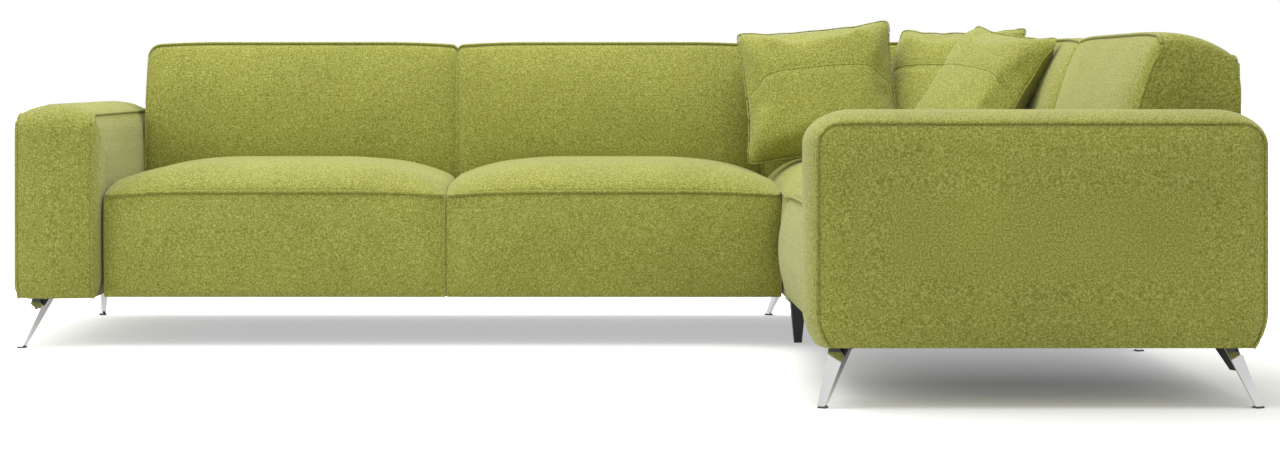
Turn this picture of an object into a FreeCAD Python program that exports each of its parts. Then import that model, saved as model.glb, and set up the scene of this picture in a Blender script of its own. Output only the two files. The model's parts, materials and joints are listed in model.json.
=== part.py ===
import FreeCAD
import Part
import math
import os
import re

# Corner sofa in three modules: a long left wing, a corner and a shorter right wing.
# The origin lies on the floor, under the middle of the sofa. +X runs along the long wing,
# +Y to its back and +Z up. Every size is in millimetres.

doc = FreeCAD.newDocument("corner_sofa")
sheet = doc.addObject("Spreadsheet::Sheet", "Sizes")

SIZES = [
    ("sofa_length", 2880, "whole sofa along the long wing, over the covers"),
    ("sofa_depth", 2160, "whole sofa along the right wing, over the covers"),
    ("wing_depth", 970, "front of an arm to the outside back"),
    ("corner_length", 917.5, "corner module along the long wing"),
    ("corner_depth", 1050, "corner module along the right wing"),
    ("seam_gap", 1, "between neighbouring covers"),
    ("touch_gap", 0.3, "between a loose piece and what it lies on"),
    ("pad_gap", 7, "rear of a seat pad to the bulged face of the back"),
    ("leg_height", 125, "floor to the underside of the covers"),
    ("arm_width", 234, "arm over its bulged side panels"),
    ("arm_piping_height", 590, "top line of the arm's side panels"),
    ("arm_crown", 28, "rise of the arm's top above its piping"),
    ("side_bulge", 22, "bulge of the arm's side panels beyond the piping"),
    ("boxing_bulge", 22, "bulge of the arm's boxing strip at the front and rear"),
    ("arm_corner_radius", 65, "round of the side panels at the top"),
    ("arm_wall", 30, "padding over the arm's side panels, at its thickest"),
    ("arm_front_wall", 40, "padding at the arm's front and rear"),
    ("arm_top_wall", 45, "padding between the arm's frame and its piping line"),
    ("seat_recess", 33, "front of the arm to the front of the seat"),
    ("seat_height", 464, "crown of the seat"),
    ("seat_piping_height", 394, "piping along the seat's front edge"),
    ("seat_front_bulge", 20, "bulge of the seat's front below its piping"),
    ("seat_round", 130, "depth of the round from the piping to the crown"),
    ("seat_edge_drop", 60, "fall of the crown at the seam between two seats"),
    ("seat_wall", 25, "padding between the piping line and the front rail"),
    ("first_seat_length", 872.5, "seat beside the left arm"),
    ("back_height", 788, "front top edge of the back"),
    ("back_rear_height", 731, "rear top edge of the back"),
    ("back_top_depth", 191, "outside back to the front top edge"),
    ("back_seat_depth", 307, "outside back to the face line at seat height"),
    ("back_belly", 45, "bulge of the back beyond its face line"),
    ("back_crown", 16, "rise of the back's sloping top between its edges"),
    ("rear_bulge", 20, "bulge of the outside back beyond its edges"),
    ("frame_depth", 65, "front to rear of the back frame and the rear rail"),
    ("cap_lip", 16, "cover of the back that turns down behind its top edge"),
    ("post_width", 45, "post of a back frame"),
    ("rail_thickness", 30, "boards of the seat frame"),
    ("wide_rail_thickness", 60, "corner rail above the inner foot"),
    ("cross_rail_height", 100, "rear and cross rails of the seat frame"),
    ("front_rail_height", 160, "front rail, whose top carries the springs"),
    ("spring_span", 534, "zigzag spring from clip to clip"),
    ("cover_thickness", 2.5, "dust cover with its hem"),
    ("hem_rise", 2.5, "underside of the covers to the dust cover"),
    ("connector_space", 7.5, "end rail to the boundary between two modules"),
    ("panel_thickness", 15, "side panels of an arm frame"),
    ("rib_thickness", 18, "ribs of an arm frame"),
    ("board_thickness", 20, "base board of an arm frame"),
    ("webbing_thickness", 1.5, "elastic webbing of the backs"),
    ("webbing_width", 60, "elastic webbing of the backs"),
    ("wire_size", 3.8, "wire of the zigzag springs"),
    ("spring_width", 50, "zigzag spring across its bends"),
    ("spring_pitch", 44.5, "two runs of a zigzag spring"),
    ("clip_width", 26, "spring clip, along the rail"),
    ("clip_depth", 14, "spring clip, across the rail"),
    ("clip_height", 8, "spring clip"),
    ("bolt_size", 8, "bolts and screws"),
    ("bolt_hole", 9, "clearance hole of a bolt"),
    ("arm_bolt_front", 250, "first arm bolt behind the arm's front"),
    ("arm_bolt_rear", 700, "second arm bolt behind the arm's front"),
    ("plate_thickness", 3, "hook plates and receivers"),
    ("plate_width", 60, "hook plates and receivers"),
    ("hook_slot", 5, "slot of a hook, between its plate and its tongue"),
    ("lip_thickness", 2.4, "lip of a receiver"),
    ("hook_plate_height", 55, "plate of a hook on its rail"),
    ("tongue_height", 35, "tongue of a hook"),
    ("tongue_room", 27, "room under a tongue, with the receiver's floor"),
    ("hook_drop", 15, "top of the hooks below the top of the rails"),
    ("hook_front", 200, "first hook behind the wing's front"),
    ("hook_rear", 790, "second hook behind the wing's front"),
    ("foot_inset", 34, "foot's tip from the outer faces of its module"),
    ("leg_top_inset", 80, "top of a leg from the outer faces of its module"),
    ("rear_foot_side_inset", 76, "rear foot of the left arm from the arm's side"),
    ("flange_top", 40, "angle leg, flange at the top"),
    ("flange_foot", 16, "angle leg, flange at the foot"),
    ("leg_wall", 3.5, "angle leg, wall"),
    ("leg_turn", 20, "degrees that an angle leg is turned inwards"),
    ("leg_notch", 26, "notch in the top of an angle leg"),
    ("glide_height", 4, "glide under a foot"),
    ("block_plate", 58, "mounting plate above a leg"),
    ("block_plate_height", 6, "mounting plate above a leg"),
    ("block_height", 50, "black block inside the top of a leg"),
    ("inner_foot_along", 49, "inner foot from the corner module's left boundary"),
    ("inner_foot_depth", 167, "inner foot behind the long wing's front"),
    ("inner_foot_top", 43, "inner foot, width at the top"),
    ("inner_foot_tip", 20, "inner foot, width at the floor"),
    ("screw_length", 45, "screw from a leg into the frame"),
    ("screw_head", 6, "head of a leg screw, below its plate"),
    ("screw_seat", 12, "head of a leg screw to the plate's underside"),
    ("foot_thread", 20, "screw's depth in the inner foot"),
    ("foot_screw_length", 35, "screw of the inner foot"),
    ("pillow_width", 425, "throw pillow, filled, across"),
    ("pillow_tall", 390, "throw pillow, filled, up"),
    ("pillow_thickness", 145, "throw pillow at its middle"),
    ("pillow_clear", 30, "left pillow's edge in front of the back"),
    ("webbing_count", 4, "bands of webbing on a back"),
    ("webbing_margin", 15, "outermost bands to the ends of the posts"),
    ("springs_per_seat", 4, "zigzag springs of a seat"),
    ("bolt_head", 16, "head of an arm bolt, across"),
    ("bolt_nut", 13.6, "nut of an arm bolt, across"),
    ("nut_height", 7, "nut of an arm bolt"),
    ("head_height", 5, "head of an arm bolt"),
    ("hole_margin", 10, "cutting rods run this far past the boards"),
]

for row, (name, value, note) in enumerate(SIZES, start=1):
    sheet.set("A%d" % row, name)
    sheet.set("B%d" % row, str(value))
    sheet.set("C%d" % row, note)
    sheet.setAlias("B%d" % row, name)
doc.recompute()

SIZE = {name: float(sheet.get(name)) for name, value, note in SIZES}
NODES = []

# Heights, depths and ends that several pieces share, each a sum of sizes.
LEVELS = [
    ("bottom", "leg_height + hem_rise + cover_thickness"),
    ("rail_top", "bottom + cross_rail_height"),
    ("hook_top", "rail_top - hook_drop"),
    ("spring_seat", "bottom + front_rail_height"),
    ("foam_bottom", "spring_seat + clip_height + touch_gap"),
    ("rail_front", "seat_recess + seat_front_bulge + seat_wall"),
    ("rail_behind", "rail_front + rail_thickness"),
    ("frame_rear", "wing_depth - rear_bulge - 2 * hem_rise"),
    ("frame_front", "frame_rear - frame_depth"),
    ("spring_rail", "rail_front + spring_span"),
    ("cap_bottom", "back_rear_height - cap_lip"),
    ("top_rail_low", "cap_bottom - post_width - seam_gap / 2"),
    ("top_rail_high", "cap_bottom - seam_gap / 2"),
    ("left_end", "sofa_length - corner_length"),
    ("right_end", "sofa_depth - corner_depth"),
    ("seat_start", "arm_width + seam_gap"),
    ("seat_seam", "arm_width + first_seat_length"),
    ("left_stop", "left_end - connector_space"),
    ("right_stop", "right_end - connector_space"),
    ("corner_start", "left_end + connector_space"),
    ("corner_near", "right_end + connector_space"),
    ("bolt_height", "bottom + cross_rail_height / 2"),
    ("arm_low", "leg_height + hem_rise"),
    ("arm_high", "arm_piping_height - arm_top_wall"),
    ("arm_inside", "arm_wall + panel_thickness"),
    ("arm_far_inside", "arm_width - arm_wall - panel_thickness"),
    ("long_x", "-sofa_length / 2"),
    ("long_y", "sofa_depth / 2 - wing_depth"),
    ("side_x", "sofa_length / 2 - wing_depth"),
    ("side_y", "-sofa_depth / 2"),
    ("corner_front", "right_end + side_y - long_y"),
    ("corner_side", "left_end + long_x - side_x"),
    ("near_rail_front", "corner_front + connector_space"),
    ("near_rail_behind", "near_rail_front + rail_thickness"),
    ("outer_rail", "sofa_length - wing_depth + frame_front"),
    ("outer_rail_end", "sofa_length - wing_depth + frame_rear"),
    ("inner_corner", "sofa_depth - wing_depth + frame_front"),
    ("side_panel_end", "sofa_depth - wing_depth + frame_rear"),
]
LEVEL_NAMES = [name for name, text in LEVELS]


def formula(text):
    """Write a sum of size and level names the way the document reads it."""
    def owner(word):
        return ("Levels." if word.group(0) in LEVEL_NAMES else "Sizes.") + word.group(0)
    return re.sub(r"[a-z]\w*", owner, text)


levels = doc.addObject("App::FeaturePython", "Levels")
for name, text in LEVELS:
    levels.addProperty("App::PropertyFloat", name)
    levels.setExpression(name, formula(text))
doc.recompute()

# Directions of a wing. "long" is the far wing: along is +X from the left end, depth is +Y from
# the arm's front. "side" is the right wing: along is +Y from its near end, depth is +X.
ORIGIN = {"long": ("long_x", "long_y"), "side": ("side_x", "side_y")}


def place(wing, along, depth, up):
    """Point of the sofa for a point given in a wing's own directions."""
    first, second = (getattr(levels, name) for name in ORIGIN[wing])
    if wing == "long":
        return FreeCAD.Vector(first + along, second + depth, up)
    return FreeCAD.Vector(first + depth, second + along, up)


def board(wing, name, along, depth, up):
    """Straight board between two limits in each of a wing's directions."""
    piece = doc.addObject("Part::Box", name)
    first, second = ORIGIN[wing]
    across, back = (along, depth) if wing == "long" else (depth, along)
    piece.setExpression("Length", formula("(%s) - (%s)" % (across[1], across[0])))
    piece.setExpression("Width", formula("(%s) - (%s)" % (back[1], back[0])))
    piece.setExpression("Height", formula("(%s) - (%s)" % (up[1], up[0])))
    piece.setExpression("Placement.Base.x", formula("%s + (%s)" % (first, across[0])))
    piece.setExpression("Placement.Base.y", formula("%s + (%s)" % (second, back[0])))
    piece.setExpression("Placement.Base.z", formula("(%s)" % up[0]))
    return piece


def keep(name, piece):
    """Make an object a sub-part of its own."""
    piece.Label = name
    NODES.append(piece)
    return piece


def group(name, pieces):
    """Several separate solids that share one sub-part."""
    bundle = doc.addObject("Part::Compound", name)
    bundle.Links = pieces
    return keep(name, bundle)


def feature(name, shape):
    """Sub-part whose shape is worked out from the sheet's values."""
    piece = doc.addObject("Part::Feature", name)
    piece.Shape = shape
    return keep(name, piece)


def cut(name, base, tools):
    """A piece less the pieces that pass through it."""
    bundle = doc.addObject("Part::Compound", name + "_openings")
    bundle.Links = tools
    rest = doc.addObject("Part::Cut", name + "_cut")
    rest.Base = base
    rest.Tool = bundle
    return rest


def rod(wing, name, diameter, along, depth, up, length, turn):
    """Round rod from a point along one of a wing's directions: along, depth or up."""
    piece = doc.addObject("Part::Cylinder", name)
    first, second = ORIGIN[wing]
    across, back = (along, depth) if wing == "long" else (depth, along)
    piece.setExpression("Radius", formula("(%s) / 2" % diameter))
    piece.setExpression("Height", formula(length))
    piece.setExpression("Placement.Base.x", formula("%s + (%s)" % (first, across)))
    piece.setExpression("Placement.Base.y", formula("%s + (%s)" % (second, back)))
    piece.setExpression("Placement.Base.z", formula("(%s)" % up))
    along_x = (turn == "along") == (wing == "long")
    if turn != "up":
        axis = FreeCAD.Vector(0, 1, 0) if along_x else FreeCAD.Vector(1, 0, 0)
        piece.Placement.Rotation = FreeCAD.Rotation(axis, 90 if along_x else -90)
    return piece


gap = SIZE["seam_gap"]
half_gap = gap / 2


# Outlines of the upholstery, drawn upright across a wing: depth and height.

def arc_into_level(start, end):
    """Middle point of the arc that leaves start and comes level at end."""
    run, rise = end[0] - start[0], end[1] - start[1]
    radius = (run * run + rise * rise) / (2 * abs(rise))
    half_turn = math.atan2(abs(run), radius - abs(rise)) / 2
    side = math.copysign(1, run)
    lift = math.copysign(1, rise)
    return (end[0] - side * radius * math.sin(half_turn),
            end[1] - lift * radius * (1 - math.cos(half_turn)))


def bowed(start, end, bow):
    """Middle point of an arc between two points that stands bow to the left of the line."""
    run, rise = end[0] - start[0], end[1] - start[1]
    length = math.hypot(run, rise)
    return ((start[0] + end[0]) / 2 - rise / length * bow,
            (start[1] + end[1]) / 2 + run / length * bow)


def outline(wing, along, points):
    """Closed wire through points; a point marked as a middle makes its stretch an arc."""
    edges = []
    start = points[0]
    middle = None
    for point in points[1:] + points[:1]:
        if len(point) == 3:
            middle = point
            continue
        here = place(wing, along, *start)
        there = place(wing, along, *point)
        if middle:
            edges.append(Part.Arc(here, place(wing, along, middle[0], middle[1]), there).toShape())
        else:
            edges.append(Part.makeLine(here, there))
        start = point
        middle = None
    return Part.Wire(edges)


def through(point):
    """Mark a point as the middle of an arc."""
    return (point[0], point[1], "middle")


def loft(wing, sections, ruled=False):
    """Solid through outlines given as (along, points)."""
    solid = Part.makeLoft([outline(wing, along, points) for along, points in sections], True, ruled)
    if solid.Volume < 0:
        solid.reverse()
    return solid


def drawn_in(wing, start, end, shares, section, far_end=True):
    """Padded run: lofts through the drawn-in ends and a straight stretch between them."""
    near = [(start + away, section(*share)) for away, share in shares]
    solids = [loft(wing, near)]
    whole = near[-1][1]
    stop = end
    if far_end:
        far = [(end - away, section(*share)) for away, share in reversed(shares)]
        solids.append(loft(wing, far))
        stop = far[0][0]
    middle = loft(wing, [(near[-1][0], whole), (stop, whole)], True)
    return middle.fuse(solids).removeSplitter()


def face_line(height):
    """Depth of the back's straight face line at a height."""
    low = SIZE["wing_depth"] - SIZE["back_seat_depth"]
    high = SIZE["wing_depth"] - SIZE["back_top_depth"]
    share = (height - SIZE["seat_height"]) / (SIZE["back_height"] - SIZE["seat_height"])
    return low + (high - low) * share


def back_foot():
    """Lowest front point of a back pad."""
    height = levels.foam_bottom + gap
    return (face_line(height), height)


def back_top():
    """Front top edge of a back pad."""
    return (SIZE["wing_depth"] - SIZE["back_top_depth"], SIZE["back_height"])


def belly_depth(height, belly):
    """Depth of the bulged face at a height, on the arc that the belly makes."""
    start, end = back_foot(), back_top()
    middle = bowed(start, end, belly)
    curve = Part.Arc(FreeCAD.Vector(start[0], start[1], 0), FreeCAD.Vector(middle[0], middle[1], 0),
                     FreeCAD.Vector(end[0], end[1], 0))
    circle = curve.toShape().Curve
    centre, radius = circle.Center, circle.Radius
    return centre.x - math.sqrt(radius * radius - (height - centre.y) ** 2)


def back_outline(belly, drop, draw):
    """Section of a back pad: bulged face, crowned sloping top, lip and flat rear."""
    start, end = back_foot(), back_top()
    end = (end[0] + draw, end[1] - drop)
    start = (start[0] + draw, start[1])
    rear = (levels.frame_rear - 1 + SIZE["hem_rise"] * 2, SIZE["back_rear_height"] - drop)
    inner = levels.frame_front - SIZE["webbing_thickness"] - half_gap
    return [(inner, start[1]), start, through(bowed(start, end, belly)), end,
            through(bowed(end, rear, SIZE["back_crown"])), rear, (rear[0], levels.cap_bottom),
            (inner, levels.cap_bottom)]


def seat_outline(drop, bulge, draw):
    """Section of a seat pad: bulged front, round to the crown, foam cut to the back's bulge."""
    front = SIZE["seat_recess"] + SIZE["seat_front_bulge"] + draw
    foot = (front + 5, SIZE["leg_height"])
    piping = (front, SIZE["seat_piping_height"] - drop / 5)
    crown = (front + SIZE["seat_round"], SIZE["seat_height"] - drop)
    belly = SIZE["back_belly"]
    low = levels.foam_bottom
    inner = levels.rail_front - half_gap
    clear = SIZE["pad_gap"]
    top_rear = (belly_depth(crown[1], belly) - clear, crown[1])
    low_rear = (belly_depth(low, belly) - clear, low)
    middle_height = (top_rear[1] + low_rear[1]) / 2
    middle = (belly_depth(middle_height, belly) - clear, middle_height)
    return [(inner, SIZE["leg_height"]), foot, through(bowed(foot, piping, bulge)), piping,
            through(arc_into_level(piping, crown)), crown, top_rear, through(middle), low_rear,
            (inner, low)]


SEAT_ENDS = ((0, (1, 0.25, 12)), (26, (0.7, 0.6, 4)), (85, (0.38, 0.9, 0)), (150, (0.14, 1, 0)),
             (215, (0.04, 1, 0)), (280, (0, 1, 0)))
BACK_ENDS = ((0, (0.1, 9, 6)), (18, (0.5, 3, 1)), (80, (0.85, 0, 0)), (150, (0.97, 0, 0)),
             (220, (1, 0, 0)))


def seat_pad(name, wing, start, end):
    """Seat as one upholstered block, its crown and front drawn in at the seams."""
    def section(fall, full, draw):
        return seat_outline(SIZE["seat_edge_drop"] * fall, SIZE["seat_front_bulge"] * full, draw)
    return feature(name, drawn_in(wing, start + half_gap, end - half_gap, SEAT_ENDS, section))


def back_section(full, drop, draw):
    """Section of a back pad by how full its belly is."""
    return back_outline(SIZE["back_belly"] * full, drop, draw)


def back_pad(name, wing, start, end):
    """Back as one upholstered block, drawn in at its seams."""
    return feature(name, drawn_in(wing, start + half_gap, end - half_gap, BACK_ENDS, back_section))


def rear_panel(name, wing, start, end):
    """Outside back: a lightly padded panel over the frame, bulged between its edges."""
    inner = levels.frame_rear + half_gap
    edge = levels.frame_rear + SIZE["hem_rise"] * 2
    low, high = SIZE["leg_height"], levels.cap_bottom - half_gap

    def section(full):
        bulge = SIZE["rear_bulge"] * full
        return [(inner, low), (inner, high), (edge, high),
                through((edge + bulge, (low + high) / 2)), (edge, low)]
    ends = ((0, (0.1,)), (50, (0.55,)), (120, (0.85,)), (250, (1,)))
    return feature(name, drawn_in(wing, start + half_gap, end - half_gap, ends, section))


def arm_outline(grow):
    """Side view of an arm: upright front and rear, rounded top corners."""
    radius = SIZE["arm_corner_radius"] + grow
    front = SIZE["boxing_bulge"] - grow
    rear = SIZE["wing_depth"] - SIZE["boxing_bulge"] + grow
    top = SIZE["arm_piping_height"] + grow * SIZE["arm_crown"] / SIZE["boxing_bulge"]
    low = SIZE["leg_height"]
    slant = radius * (1 - math.sqrt(0.5))
    return [(front, low), (front, top - radius), through((front + slant, top - slant)),
            (front + radius, top), (rear - radius, top), through((rear - slant, top - slant)),
            (rear, top - radius), (rear, low)]


def arm_pad(name, wing):
    """Cover and padding of an arm: two bulged side panels and a bulged boxing strip."""
    side, width = SIZE["side_bulge"], SIZE["arm_width"]
    bulge = SIZE["boxing_bulge"]
    boxing = [(side, arm_outline(0)), (side + 35, arm_outline(bulge * 0.75)),
              (width / 2, arm_outline(bulge)), (width - side - 35, arm_outline(bulge * 0.75)),
              (width - side, arm_outline(0))]
    radius = SIZE["arm_corner_radius"]
    panel = [(0, arm_outline(-radius * 0.97)), (side * 0.55, arm_outline(-radius * 0.45)),
             (side, arm_outline(0))]
    far_panel = [(width - along, points) for along, points in reversed(panel)]
    solid = loft(wing, boxing).fuse([loft(wing, panel), loft(wing, far_panel)]).removeSplitter()
    hollow = doc.addObject("Part::Feature", name + "_outside")
    hollow.Shape = solid
    wall, front = "arm_wall - seam_gap / 2", "arm_front_wall - seam_gap / 2"
    core = board(wing, name + "_core", (wall, "arm_width - (%s)" % wall),
                 (front, "wing_depth - (%s)" % front),
                 ("0", "arm_piping_height - arm_top_wall + seam_gap / 2"))
    holes = arm_bolt_holes(name, wing)
    return keep(name, cut(name, hollow, [core] + holes))


def arm_bolt_holes(name, wing):
    """Clearance holes of the two bolts that hold an arm to the seat frame."""
    holes = []
    for which in ("front", "rear"):
        holes.append(rod(wing, "%s_hole_%s" % (name, which), "bolt_hole",
                         "arm_far_inside - hole_margin / 2", "arm_bolt_" + which, "bolt_height",
                         "arm_wall + panel_thickness + rail_thickness + hole_margin", "along"))
    return holes


def arm_frame(name, wing):
    """Arm frame: two side panels, four ribs, a top board and the base board for the legs."""
    wall, front = "arm_wall", "arm_front_wall"
    low, high = "arm_low", "arm_high"
    back = "wing_depth - arm_front_wall"
    inside = ("arm_inside", "arm_far_inside")
    outer = board(wing, name + "_outer", (wall, inside[0]), (front, back), (low, high))
    inner = board(wing, name + "_inner", (inside[1], "arm_width - arm_wall"), (front, back),
                  (low, high))
    pieces = [outer, cut(name + "_inner", inner, arm_bolt_holes(name, wing))]
    base_top = low + " + board_thickness"
    base = board(wing, name + "_base", inside, (front, back), (low, base_top))
    pieces.append(cut(name + "_base", base, leg_screw_holes(name, wing)))
    top = board(wing, name + "_top", inside, (front, back), (high + " - panel_thickness", high))
    pieces.append(top)
    step = "((wing_depth - 2 * arm_front_wall - rib_thickness) / 3)"
    for count in range(4):
        start = "arm_front_wall + %d * %s" % (count, step)
        pieces.append(board(wing, "%s_rib_%d" % (name, count), inside,
                            (start, start + " + rib_thickness"),
                            (base_top, high + " - panel_thickness")))
    return group(name, pieces)


def arm_bolts(name, wing):
    """Two bolts with round heads and nuts, from the seat frame through the arm's inner panel."""
    pieces = []
    inside = "arm_far_inside"
    end = "seat_start + rail_thickness"
    for which in ("front", "rear"):
        spot = ("arm_bolt_" + which, "bolt_height")
        shank = rod(wing, "%s_%s_shank" % (name, which), "bolt_size", inside + " - nut_height + 1",
                    *spot, "(%s) - (%s) + nut_height" % (end, inside), "along")
        head = rod(wing, "%s_%s_head" % (name, which), "bolt_head", end, *spot, "head_height",
                   "along")
        nut = rod(wing, "%s_%s_nut" % (name, which), "bolt_nut", inside + " - nut_height", *spot,
                  "nut_height", "along")
        bolt = doc.addObject("Part::MultiFuse", "%s_%s" % (name, which))
        bolt.Shapes = [shank, head, nut]
        pieces.append(bolt)
    return group(name, pieces)


# Feet. Each leg is given by its module corner: the point, and the outward direction in X and Y.

def leg_screw_holes(name, wing):
    """Holes for the leg screws in an arm's base board."""
    holes = []
    for which, depth in (("front", "leg_top_inset"), ("rear", "wing_depth - leg_top_inset")):
        holes.append(rod(wing, "%s_screw_%s" % (name, which), "bolt_hole", "leg_top_inset", depth,
                         "leg_height", "board_thickness + hole_margin", "up"))
    return holes


def angle_wire(centre, turn, flange, wall, height):
    """Six-cornered section of an angle whose fold points away from its own diagonal."""
    corners = ((0, 0), (flange, 0), (flange, wall), (wall, wall), (wall, flange), (0, flange))
    shift = flange * 0.35
    spin = FreeCAD.Rotation(FreeCAD.Vector(0, 0, 1), turn)
    points = [centre + spin.multVec(FreeCAD.Vector(x - shift, y - shift, 0)) for x, y in corners]
    points = [FreeCAD.Vector(point.x, point.y, height) for point in points]
    return Part.makePolygon(points + points[:1])


def square_wire(centre, turn, low, high, height):
    """Square section that sits inside an angle, from its fold outwards."""
    spin = FreeCAD.Rotation(FreeCAD.Vector(0, 0, 1), turn)
    corners = ((low, low), (high, low), (high, high), (low, high))
    points = [centre + spin.multVec(FreeCAD.Vector(x, y, 0)) for x, y in corners]
    points = [FreeCAD.Vector(point.x, point.y, height) for point in points]
    return Part.makePolygon(points + points[:1])


def leg_spots():
    """Every chrome leg: wing module, top centre, foot centre and turn of its fold."""
    inset, tip = SIZE["leg_top_inset"], SIZE["foot_inset"]
    depth = SIZE["wing_depth"]
    turn = SIZE["leg_turn"]
    front, back = 45 + turn, -45 - turn
    left = [(place("long", inset, inset, 0), place("long", tip, tip, 0), front),
            (place("long", inset, depth - inset, 0),
             place("long", SIZE["rear_foot_side_inset"], depth - tip, 0), back)]
    right = [(place("side", inset, inset, 0), place("side", tip, tip, 0), front),
             (place("side", inset, depth - inset, 0), place("side", tip, depth - tip, 0),
              90 + 45 - turn)]
    start, end = levels.left_end, SIZE["sofa_length"]
    corner = [(place("long", start + inset, depth - inset, 0),
               place("long", start + tip, depth - tip, 0), back),
              (place("long", end - inset, depth - inset, 0),
               place("long", end - tip, depth - tip, 0), 180 + 45 + turn),
              (place("side", levels.right_end + inset, depth - inset, 0),
               place("side", levels.right_end + tip, depth - tip, 0), 90 + 45 - turn)]
    return {"left": left, "right": right, "corner": corner}


def legs(module, spots):
    """Chrome angle legs, their black blocks, screws and glides, as groups of one module."""
    chrome, blocks, screws, glides = [], [], [], []
    top = SIZE["leg_height"]
    low = SIZE["glide_height"]
    wall = SIZE["leg_wall"]
    wide, narrow = SIZE["flange_top"], SIZE["flange_foot"]
    block_low = top - SIZE["block_height"]
    plate_low = top + SIZE["hem_rise"] - SIZE["block_plate_height"]
    clear = SIZE["touch_gap"]
    for head, foot, turn in spots:
        angle = Part.makeLoft([angle_wire(foot, turn, narrow, wall, low),
                               angle_wire(head, turn, wide, wall, plate_low)], True, True)
        spin = FreeCAD.Rotation(FreeCAD.Vector(0, 0, 1), turn)
        notch = SIZE["leg_notch"]
        centre = head + spin.multVec(FreeCAD.Vector(-wide * 0.35, -wide * 0.35, 0))
        wedge = Part.makeCone(0, notch * 0.62, notch,
                              FreeCAD.Vector(centre.x, centre.y, plate_low - notch))
        chrome.append(angle.cut(wedge))

        share = (block_low - low) / (plate_low - low)
        low_centre = foot + (head - foot) * share
        low_flange = narrow + (wide - narrow) * share
        low_inner = wall + clear - low_flange * 0.35
        top_inner = wall + clear - wide * 0.35
        low_wire = square_wire(low_centre, turn, low_inner, low_flange * 0.55, block_low)
        top_wire = square_wire(head, turn, top_inner, wide * 0.6, plate_low)
        block = Part.makeLoft([low_wire, top_wire], True, True)
        half = SIZE["block_plate"] / 2
        plate_high = top + SIZE["hem_rise"]
        plate = Part.makeLoft([square_wire(head, turn, -half, half, plate_low),
                               square_wire(head, turn, -half, half, plate_high)], True, True)
        hole = Part.makeCylinder(SIZE["bolt_size"] / 2 + clear / 3, SIZE["block_height"] + 10,
                                 FreeCAD.Vector(head.x, head.y, block_low - 5))
        blocks.append(block.fuse(plate).removeSplitter().cut(hole))

        low_end = FreeCAD.Vector(head.x, head.y, plate_low - SIZE["screw_seat"] - SIZE["screw_head"])
        screws.append(Part.makeCylinder(SIZE["bolt_size"] / 2,
                                        SIZE["screw_length"] + SIZE["screw_head"], low_end))

        glide_half = narrow * 0.55
        glide = Part.makeLoft([square_wire(foot, turn, -glide_half, glide_half, 0),
                               square_wire(foot, turn, -glide_half, glide_half, low)], True, True)
        glides.append(glide)
    feature(module + "_legs", Part.makeCompound(chrome))
    feature(module + "_leg_blocks", Part.makeCompound(blocks))
    feature(module + "_leg_screws", Part.makeCompound(screws))
    return glides


# Seat frames, springs and dust covers.

def zigzag(wing, along, start, span, height):
    """Zigzag spring: runs across its width joined by half turns, seen from above."""
    half_step = SIZE["spring_pitch"] / 2
    runs = int(span / half_step) // 2 * 2 + 1
    turn = span / (runs - 1) / 2
    reach = SIZE["spring_width"] / 2 - turn
    edges = []
    for run in range(runs):
        side = 1 if run % 2 == 0 else -1
        depth = start + run * 2 * turn
        near = place(wing, along - side * reach, depth, height)
        far = place(wing, along + side * reach, depth, height)
        edges.append(Part.makeLine(near, far))
        if run < runs - 1:
            middle = place(wing, along + side * (reach + turn), depth + turn, height)
            after = place(wing, along + side * reach, depth + 2 * turn, height)
            edges.append(Part.Arc(far, middle, after).toShape())
    path = Part.Wire(edges)
    first = edges[0].Vertexes[0].Point
    direction = edges[0].tangentAt(edges[0].FirstParameter)
    ring = Part.Wire(Part.makeCircle(SIZE["wire_size"] / 2, first, direction))
    return path.makePipeShell([ring], True, False)


def springs(wing, start, end, depth, span):
    """Row of zigzag springs with a clip at each end."""
    wires, clips = [], []
    count = int(SIZE["springs_per_seat"])
    height = levels.spring_seat + SIZE["clip_height"] / 2
    pitch = (end - start) / count
    half = SIZE["clip_width"] / 2
    half_depth = SIZE["clip_depth"] / 2
    for index in range(count):
        along = start + pitch * (index + 0.5)
        wires.append(zigzag(wing, along, depth, span, height))
        for spot in (depth, depth + span):
            near = place(wing, along - half, spot - half_depth, levels.spring_seat)
            far = place(wing, along + half, spot + half_depth, levels.spring_seat)
            clip = Part.makeBox(far.x - near.x, far.y - near.y, SIZE["clip_height"], near)
            start_point = place(wing, along - 2 * half, spot, height)
            axis = place(wing, along + half, spot, height) - start_point
            bore = Part.makeCylinder(SIZE["wire_size"] / 2 + 0.1, 4 * half, start_point, axis)
            clips.append(clip.cut(bore))
    return wires, clips


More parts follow.
